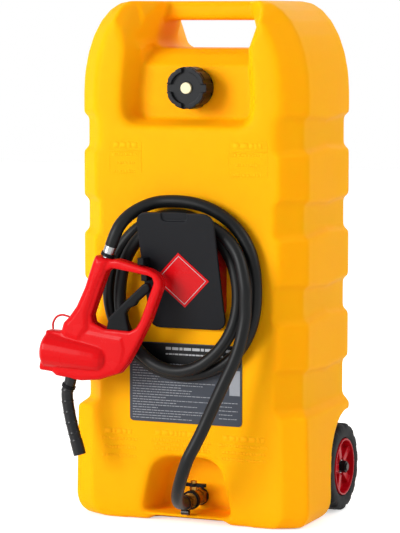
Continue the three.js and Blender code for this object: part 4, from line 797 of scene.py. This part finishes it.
@dataclass
class Tank:
    """Blow-moulded tank with soft edges, and the low raised panels on its front."""

    front: float = -134.0
    voxel: float = 2.8
    rounds: int = 9
    # Framed panels above and bare notices below: left, low, right and high on the front
    panels: list = field(default_factory=lambda: [(-133, 561, -76, 616), (73, 559, 139, 618)])
    notices: list = field(default_factory=lambda: [(-150, 102, -82, 148), (-60, 118, 44, 150), (58, 108, 142, 148)])
    rib: float = 1.2
    rib_slope: float = 0.3
    proud: float = 0.3
    corner: float = 5.0
    corner_steps: int = 5
    bar_slope: float = 0.35
    panel_head: float = 17.0
    head_rule: float = 1.2
    head_bar: float = 8.5
    head_margins: tuple = (5.0, 4.0, 3.5)
    text_bar: float = 3.8
    text_margins: tuple = (6.0, 3.0, 4.0)
    text_rows: int = 3
    notice_head: float = 14.0
    notice_bars: tuple = (8.0, 4.0)
    notice_margin: float = 4.0
    # A bar's least and greatest length and the gap after it, as shares of its height, and how far rows step in
    bar_shares: tuple = (0.55, 1.5, 0.28)
    row_inset: float = 3.0
    # Mouths of the filler recess and the arch: left, low, right, high, then their depth and the smoothing rounds
    mouths: list = field(default_factory=lambda: [((-165, 600, 165, 800), -100, 24), ((-110, -5, 110, 140), -98, 22)])

    def build(self) -> None:
        """Rounds the tank and lays the raised panels on its front."""
        body = moulded("tank", "tank_moulding", TANK_PE, "caddy", "tank_pe", self.voxel, self.rounds)
        self.soften_mouths(body.data)
        log.info("tank moulded, %d faces", len(body.data.polygons))
        meshes = [self.raised_frame(*corners) for corners in self.panels]
        for left, low, right, high in self.panels:
            rule, half = high - self.panel_head, self.head_rule / 2
            meshes.append(bar_on_front(left, rule - half, right, rule + half, self.front, self.proud, self.rib_slope))
            beside, above, below = self.head_margins
            meshes += self.bars(left + beside, rule + above, right - beside, high - below, 1, self.head_bar)
            beside, foot, under = self.text_margins
            meshes += self.bars(left + beside, low + foot, right - beside, rule - under, self.text_rows, self.text_bar)
        head_bar, text_bar = self.notice_bars
        for left, low, right, high in self.notices:
            meshes += self.bars(left + self.notice_margin, low, right - self.notice_margin, high, 1, head_bar)
            meshes += self.bars(left, low, right, high - self.notice_head, self.text_rows, text_bar)
        new_piece("raised_front_panels", joined("raised_front_panels", meshes), RELIEF_PE, "caddy", "tank_pe")
        log.info("front panels raised")

    def soften_mouths(self, mesh: bpy.types.Mesh) -> None:
        """Gives the mouths of the recesses the wide soft lips that a blow mould leaves.

        Args:
            mesh: The tank's mesh.
        """
        work = bmesh.new()
        work.from_mesh(mesh)
        for (left, low, right, high), deep, rounds in self.mouths:
            zone = [dot for dot in work.verts if left < dot.co.x / MM < right and low < dot.co.z / MM < high
                    and dot.co.y / MM < deep]
            for _ in range(rounds):
                bmesh.ops.smooth_vert(work, verts=zone, factor=SMOOTHING, use_axis_x=True, use_axis_y=True,
                                      use_axis_z=True)
        work.to_mesh(mesh)
        work.free()

    def bars(self, left: float, low: float, right: float, high: float, rows: int,
             tall: float) -> list[bpy.types.Mesh]:
        """Fills an area of the front with rows of plain raised bars, in millimetres.

        Args:
            left: The area's left edge.
            low: Its lower edge.
            right: Its right edge.
            high: Its upper edge.
            rows: How many rows.
            tall: A bar's height.

        Returns:
            The bars' meshes.
        """
        meshes = []
        lengths = [tall * share for share in self.bar_shares]
        pitch = (high - low - tall) / max(rows - 1, 1)
        for row in range(rows):
            inset = (row * 5 + rows) % 3 * self.row_inset
            foot = high - tall - row * pitch
            for start, end in dashes(left + inset, right - inset, row + round(abs(left)), *lengths):
                meshes.append(bar_on_front(start, foot, end, foot + tall, self.front, self.proud, self.bar_slope))
        return meshes

    def raised_frame(self, left: float, low: float, right: float, high: float) -> bpy.types.Mesh:
        """Makes one rounded rectangular rib on the front face, in millimetres.

        Args:
            left: Its left edge.
            low: Its lower edge.
            right: Its right edge.
            high: Its upper edge.

        Returns:
            The rib's mesh.
        """
        rows = []
        slope = self.rib_slope
        for inset, lift in ((0.0, slope), (slope, -self.proud), (self.rib - slope, -self.proud), (self.rib, slope)):
            ring = []
            for cx, cz, turn in ((right, high, 0), (left, high, 1), (left, low, 2), (right, low, 3)):
                radius = self.corner - inset
                ox = cx - self.corner if turn in (0, 3) else cx + self.corner
                oz = cz - self.corner if turn in (0, 1) else cz + self.corner
                for k in range(self.corner_steps + 1):
                    a = (turn + k / self.corner_steps) * math.pi / 2
                    ring.append(Vector((ox + radius * math.cos(a), self.front + lift, oz + radius * math.sin(a))) * MM)
            rows.append(ring)
        return lofted("rib", rows, Ends.OPEN)


@dataclass
class Filler:
    """Filler neck, gasket, grip-lobed cap and its ivory vent button."""

    def build(self) -> None:
        """Dresses each piece."""
        moulded("filler_cap", "cap_moulding", CAP_PP, "cap", "black_plastic", voxel_mm=0.55, rounds=3)
        moulded("vent_button", "vent_button_turned", IVORY_POM, "vent", "ivory_plastic", voxel_mm=0.4, rounds=4)
        eased("filler_neck", BLACK_PP)
        eased("cap_gasket", SEAL_RUBBER, edge_mm=0.5)
        eased("vent_spring", ZINC_STEEL, edge_mm=0.1)
        log.info("filler neck, cap and vent dressed")


@dataclass
class HoseHolder:
    """Leaning plate and wedge that carry the hose, the nozzle clip, and the plain label and tile."""

    centre_x: float = 7.0
    foot: float = 317.0
    front: float = -134.0
    foot_out: float = 7.0
    lean: float = 17.5
    tile_above: float = 85.0
    # The tile's border: how far its outer and inner edges reach, and its foot and face above the plate
    border_reach: tuple = (41.8, 40.6)
    border_out: tuple = (1.12, 1.32)
    label: list = field(default_factory=lambda: [-97.0, 163.5, 97.0, 292.5])
    label_thick: float = 1.0
    label_gap: float = 0.3
    # The dark header: its margin beside, its foot and its top below the label's upper edge
    header: tuple = (2.0, 34.0, 1.5)
    header_ink: float = 0.14
    # Height, right end and thickness of the two title lines, and shares of it for the dashes and gaps
    titles: tuple = ((281.5, 82, 4.4), (273.5, 66, 2.4))
    titles_left: float = -34.0
    title_shares: tuple = (1.0, 3.2, 0.4)
    title_ink: float = 0.22
    # Rules on the left and notes on the right: right ends, then least dash, greatest dash and gap
    rule_ink: float = 0.16
    rules_margin: float = 5.0
    rule_dashes: tuple = (1.6, 8.0, 1.1)
    rule_ends: tuple = (8, 44, -34, 40, -16, 22, -48, 52, 30, -8, 12)
    rules: int = 22
    rules_top: float = 258.0
    rule_pitch: float = 4.25
    rule_tall: float = 1.15
    notes: int = 5
    notes_left: float = 58.0
    note_ends: tuple = (90, 81)
    note_dashes: tuple = (1.6, 7.0, 1.1)
    notes_top: float = 200.0
    note_pitch: float = 6.4
    note_tall: float = 1.2
    panel: tuple = (76, 213, 94, 253)
    panel_ink: float = 0.2

    def on_plate(self, across: float, up: float, out: float) -> Vector:
        """Places a point on the leaning plate.

        Args:
            across: Millimetres to the right of the plate's middle.
            up: Millimetres up its slope.
            out: Millimetres out of its face.

        Returns:
            The point, in metres.
        """
        a = math.radians(self.lean)
        y = self.front - self.foot_out - out * math.cos(a) - up * math.sin(a)
        return Vector((self.centre_x + across, y, self.foot + up * math.cos(a) - out * math.sin(a))) * MM

    def keyline(self) -> bpy.types.Mesh:
        """Makes the tile's fine pale border.

        Returns:
            The border's mesh.
        """
        rows = []
        wide, narrow = self.border_reach
        low, high = self.border_out
        for reach, out in ((wide, low), (wide, high), (narrow, high), (narrow, low)):
            rows.append([self.on_plate(x * reach, self.tile_above + z * reach, out)
                         for x, z in ((1, 0), (0, 1), (-1, 0), (0, -1))])
        return lofted("keyline", rows, Ends.JOINED)

    def build(self) -> None:
        """Dresses the holder and prints plain rules on the label."""
        moulded("hose_holder_plate", "holder_plate_moulding", PLATE_PP, "caddy", "black_plastic", voxel_mm=0.9,
                rounds=6)
        moulded("hose_holder_core", "holder_core_moulding", CRIMSON_PP, "caddy", "crimson_plastic", voxel_mm=1.2,
                rounds=4)
        moulded("nozzle_clip", "nozzle_clip_moulding", BLACK_PP, "caddy", "black_plastic", voxel_mm=0.5, rounds=4)
        for side in ("left", "right"):
            eased(f"holder_screw_{side}", ZINC_STEEL, edge_mm=0.3)
        eased("diamond_tile", RED_VINYL, edge_mm=0.2)
        new_piece("tile_keyline", self.keyline(), WHITE_INK, "caddy", "red_plastic", smooth=False)
        eased("info_label", LABEL_VINYL, edge_mm=0.25)
        self.printing()
        log.info("hose holder dressed")

    def printing(self) -> None:
        """Prints the label's dark header and its plain broken rules."""
        face = self.front - self.label_gap - self.label_thick
        left, _, right, high = self.label
        inset, deep, top = self.header
        header = bar_on_front(left + inset, high - deep, right - inset, high - top, face, self.header_ink, INK_SLOPE)
        new_piece("label_header", header, BLACK_INK, "caddy", "label_grey", smooth=False)
        bright, dim = [], []
        for z, end, tall in self.titles:
            lengths = [tall * share for share in self.title_shares]
            bright += [bar_on_front(a, z, b, z + tall, face, self.title_ink, INK_SLOPE)
                       for a, b in dashes(self.titles_left, end, round(z), *lengths)]
        for row in range(self.rules):
            z = self.rules_top - row * self.rule_pitch
            end = self.rule_ends[row % len(self.rule_ends)]
            dim += [bar_on_front(a, z, b, z + self.rule_tall, face, self.rule_ink, RULE_SLOPE)
                    for a, b in dashes(left + self.rules_margin, end, row, *self.rule_dashes)]
        for row in range(self.notes):
            z = self.notes_top - row * self.note_pitch
            dim += [bar_on_front(a, z, b, z + self.note_tall, face, self.rule_ink, RULE_SLOPE)
                    for a, b in dashes(self.notes_left, self.note_ends[row % 2], row + self.notes,
                                       *self.note_dashes)]
        dim.append(bar_on_front(*self.panel, face, self.panel_ink, INK_SLOPE))
        for name, meshes, ink in (("label_bright_rules", bright, WHITE_INK), ("label_dim_rules", dim, GREY_INK)):
            new_piece(name, joined(name, meshes), ink, "caddy", "label_grey", smooth=False)
        log.info("label printed")


@dataclass
class Nozzle:
    """Red two-shell dispensing nozzle with its lever, spout, inlet and hang loop."""

    y: float = -192.0
    left: float = -228.0
    foot: float = 233.0
    across: float = 215.0
    tall: float = 203.0
    # Routes as shares of the nozzle's width and height
    loop_route: list = field(default_factory=lambda: [
        (0.1, 0.394), (0.1, 0.44), (0.127, 0.49), (0.172, 0.51), (0.233, 0.5)])
    loop_radius: float = 1.7
    loop_steps: int = 10
    loop_round_steps: int = 4
    spout_route: list = field(default_factory=lambda: [
        (0.255, 0.09), (0.24, -0.015), (0.214, -0.1), (0.234, -0.28), (0.316, -0.598)])
    spout_radius: float = 9.5
    spout_bore: float = 7.0
    # Ribs by their distance from the mouth, and the sleeve and rounded lip at the mouth itself
    spout_ribs: tuple = (36.0, 53.5, 71.0, 88.5, 106.0)
    rib_half: float = 1.2
    rib_rise: float = 0.75
    sleeve_long: float = 25.0
    sleeve_rise: float = 0.7
    sleeve_slope: float = 0.35
    lip_drop: float = 0.6
    lip_long: float = 0.8
    spout_curve_steps: int = 20
    spout_step: float = 0.8
    spout_sides: int = 40
    bore_rings: int = 40
    bore_every: int = 3

    def at(self, share: tuple[float, float]) -> Point:
        """Gives a point in the nozzle's plane, in millimetres, from its shares of the width and height."""
        return (self.left + share[0] * self.across, self.y, self.foot + share[1] * self.tall)

    def spout(self) -> None:
        """Draws the spout with its rounded ribs, its end sleeve and its open mouth."""
        guide = settled([self.at(share) for share in self.spout_route])
        line = evened(curve_through(guide, self.spout_curve_steps), self.spout_step)
        total = sum((b - a).length for a, b in zip(line, line[1:])) / MM
        rows, frames, walked, before = [], [], 0.0, line[0]
        for i, p in enumerate(line):
            walked += (p - before).length / MM
            before = p
            ahead = (line[min(i + 1, len(line) - 1)] - line[max(i - 1, 0)]).normalized()
            side = Vector((0, 1, 0))
            frames.append((p, side, ahead.cross(side)))
            left = total - walked
            rise = sum(math.exp(-((left - at) / self.rib_half) ** 2) for at in self.spout_ribs) * self.rib_rise
            sleeve = self.sleeve_rise / (1 + math.exp((left - self.sleeve_long) / self.sleeve_slope))
            lip = self.lip_drop * math.exp(-left / self.lip_long)
            rows.append((i, self.spout_radius + rise + sleeve - lip))
        back = [(len(line) - 1 - k, self.spout_bore) for k in range(0, self.bore_rings, self.bore_every)]
        rings = []
        for i, radius in [*rows, *back]:
            p, side, other = frames[i]
            rings.append([p + (side * math.cos(a) + other * math.sin(a)) * radius * MM
                          for a in (k / self.spout_sides * 2 * math.pi for k in range(self.spout_sides))])
        new_piece("spout_ribbed", lofted("spout_ribbed", rings), SPOUT_PP, "caddy", "black_plastic", "spout")

    def hang_loop(self) -> None:
        """Draws the wire-thin hang loop behind the grip as one smooth curve."""
        route = settled([self.at(share) for share in self.loop_route])
        loop = tube("hang_loop_bent", curve_through(route, self.loop_steps), self.loop_radius, self.loop_round_steps)
        new_piece("hang_loop_bent", loop, RED_ABS, "caddy", "red_plastic", "hang_loop")

    def build(self) -> None:
        """Dresses each piece."""
        for half in ("front", "back"):
            moulded(f"nozzle_cover_{half}", f"nozzle_shell_{half}", RED_ABS, "caddy", "red_plastic", voxel_mm=1.0,
                    rounds=18)
        moulded("trigger_lever", "trigger_lever_moulding", BLACK_PP, "trigger", "black_plastic", voxel_mm=0.7,
                rounds=6)
        self.spout()
        for number in (1, 2, 3):
            eased(f"nozzle_screw_{number}", ZINC_STEEL, edge_mm=0.2)
        eased("nozzle_core", DIE_CAST, edge_mm=0.6)
        eased("nozzle_poppet", CAST_BRASS, edge_mm=0.4)
        eased("poppet_spring", ZINC_STEEL, edge_mm=0.2)
        eased("inlet_ferrule", ZINC_STEEL, edge_mm=0.5)
        eased("inlet_collar", BLACK_PP, edge_mm=0.5)
        eased("lever_pin", ZINC_STEEL, edge_mm=0.2)
        eased("spout_gland", BLACK_PP, edge_mm=0.6)
        self.hang_loop()
        log.info("nozzle dressed")


@dataclass
class OutletValve:
    """Brass ball valve, barb and clamp in the recess at the tank's foot."""

    brass: tuple = ("outlet_bushing", "outlet_nut", "valve_body", "valve_stem", "gland_nut", "hose_barb",
                    "handle_nut")
    seats: tuple = ("ball_seat_front", "ball_seat_back")

    def build(self) -> None:
        """Dresses each piece."""
        for node in self.brass:
            eased(node, CAST_BRASS, edge_mm=0.5)
        for node in self.seats:
            eased(node, WHITE_PTFE, edge_mm=0.2)
        eased("valve_ball", ZINC_STEEL, edge_mm=0.3)
        eased("hose_clamp", BLACK_STEEL, edge_mm=0.3)
        eased("outlet_seal", SEAL_RUBBER, edge_mm=0.3)
        eased("valve_collar", BLACK_PP, edge_mm=0.6)
        eased("valve_handle", BLACK_PP, edge_mm=0.8)
        log.info("outlet valve dressed")


@dataclass
class Wheel:
    """One wheel: treaded tyre on a five-spoke crimson rim."""

    side: Side
    radius: float = 72.0
    y: float = 76.0
    face: float = 198.0
    width: float = 38.0
    # Half of the tyre's section, from bead to crown: radius, and depth in from its face
    half_section: tuple = (
        (47.4, 3.2), (49.0, 1.6), (53.0, 0.6), (58.0, 0.2), (63.5, 0.3), (67.0, 0.9), (69.4, 1.9),
        (70.9, 3.2), (71.7, 5.0), (72.0, 8.0), (72.0, 13.0))
    # Notches round each shoulder: depth, share of a tread, and where they fade out across the tyre
    treads: int = 15
    segments: int = 192
    notch_deep: float = 2.2
    notch_half: float = 0.24
    notch_slope: float = 0.05
    tread_half: float = 7.0
    tread_slope: float = 3.0
    wall_from: float = 60.0
    wall_slope: float = 5.0

    def word(self) -> str:
        """The side's word in the names."""
        return self.side.name.lower()

    def tyre(self) -> bpy.types.Mesh:
        """Turns the tyre's skin, with its staggered shoulder notches.

        Returns:
            The tyre's mesh.
        """
        inner = self.face - self.width
        profile = [*self.half_section, (self.radius, self.width / 2)]
        profile += [(r, self.width - a) for r, a in reversed(self.half_section)]
        rings = []
        for i in range(self.segments):
            turn = i / self.segments * 2 * math.pi
            ring = []
            for r, a in profile:
                off_centre = abs(a - self.width / 2)
                row = 0.0 if a < self.width / 2 else 0.5
                phase = (i / self.segments * self.treads + row) % 1
                edge = ramp((off_centre - self.tread_half) / self.tread_slope)
                edge *= ramp((r - self.wall_from) / self.wall_slope)
                notch = self.notch_deep * edge * ramp((self.notch_half - abs(phase - 0.5)) / self.notch_slope)
                ring.append(Vector((self.side.value * (inner + a), self.y + (r - notch) * math.sin(turn),
                                    self.radius + (r - notch) * math.cos(turn))) * MM)
            rings.append(ring)
        return lofted("tyre", rings, Ends.JOINED)

    def build(self) -> None:
        """Builds the tyre and dresses the rim, bush, washers and nut."""
        word = self.word()
        body = f"wheel_{word}"
        new_piece(f"tyre_{word}_treaded", self.tyre(), TYRE_RUBBER, body, "tyre_rubber", f"tyre_{word}")
        moulded(f"wheel_rim_{word}", f"wheel_rim_{word}_moulding", CRIMSON_PP, body, "crimson_plastic",
                voxel_mm=0.9, rounds=5)
        eased(f"wheel_bush_{word}", WHITE_PTFE, edge_mm=0.3)
        eased(f"washer_inner_{word}", ZINC_STEEL, edge_mm=0.2)
        eased(f"washer_outer_{word}", ZINC_STEEL, edge_mm=0.2)
        eased(f"axle_nut_{word}", BLACK_PP, edge_mm=0.6)
        log.info("%s wheel dressed", word)


def main() -> None:
    """Builds the scene: camera and hose first, then each sub-assembly."""
    studio = Studio()
    studio.camera()
    Hose().build()
    Tank().build()
    Filler().build()
    HoseHolder().build()
    Nozzle().build()
    OutletValve().build()
    eased("axle", BLACK_STEEL, edge_mm=0.5)
    for side in Side:
        Wheel(side).build()
    studio.light()
    studio.floor()


if __name__ == "__main__":
    main()
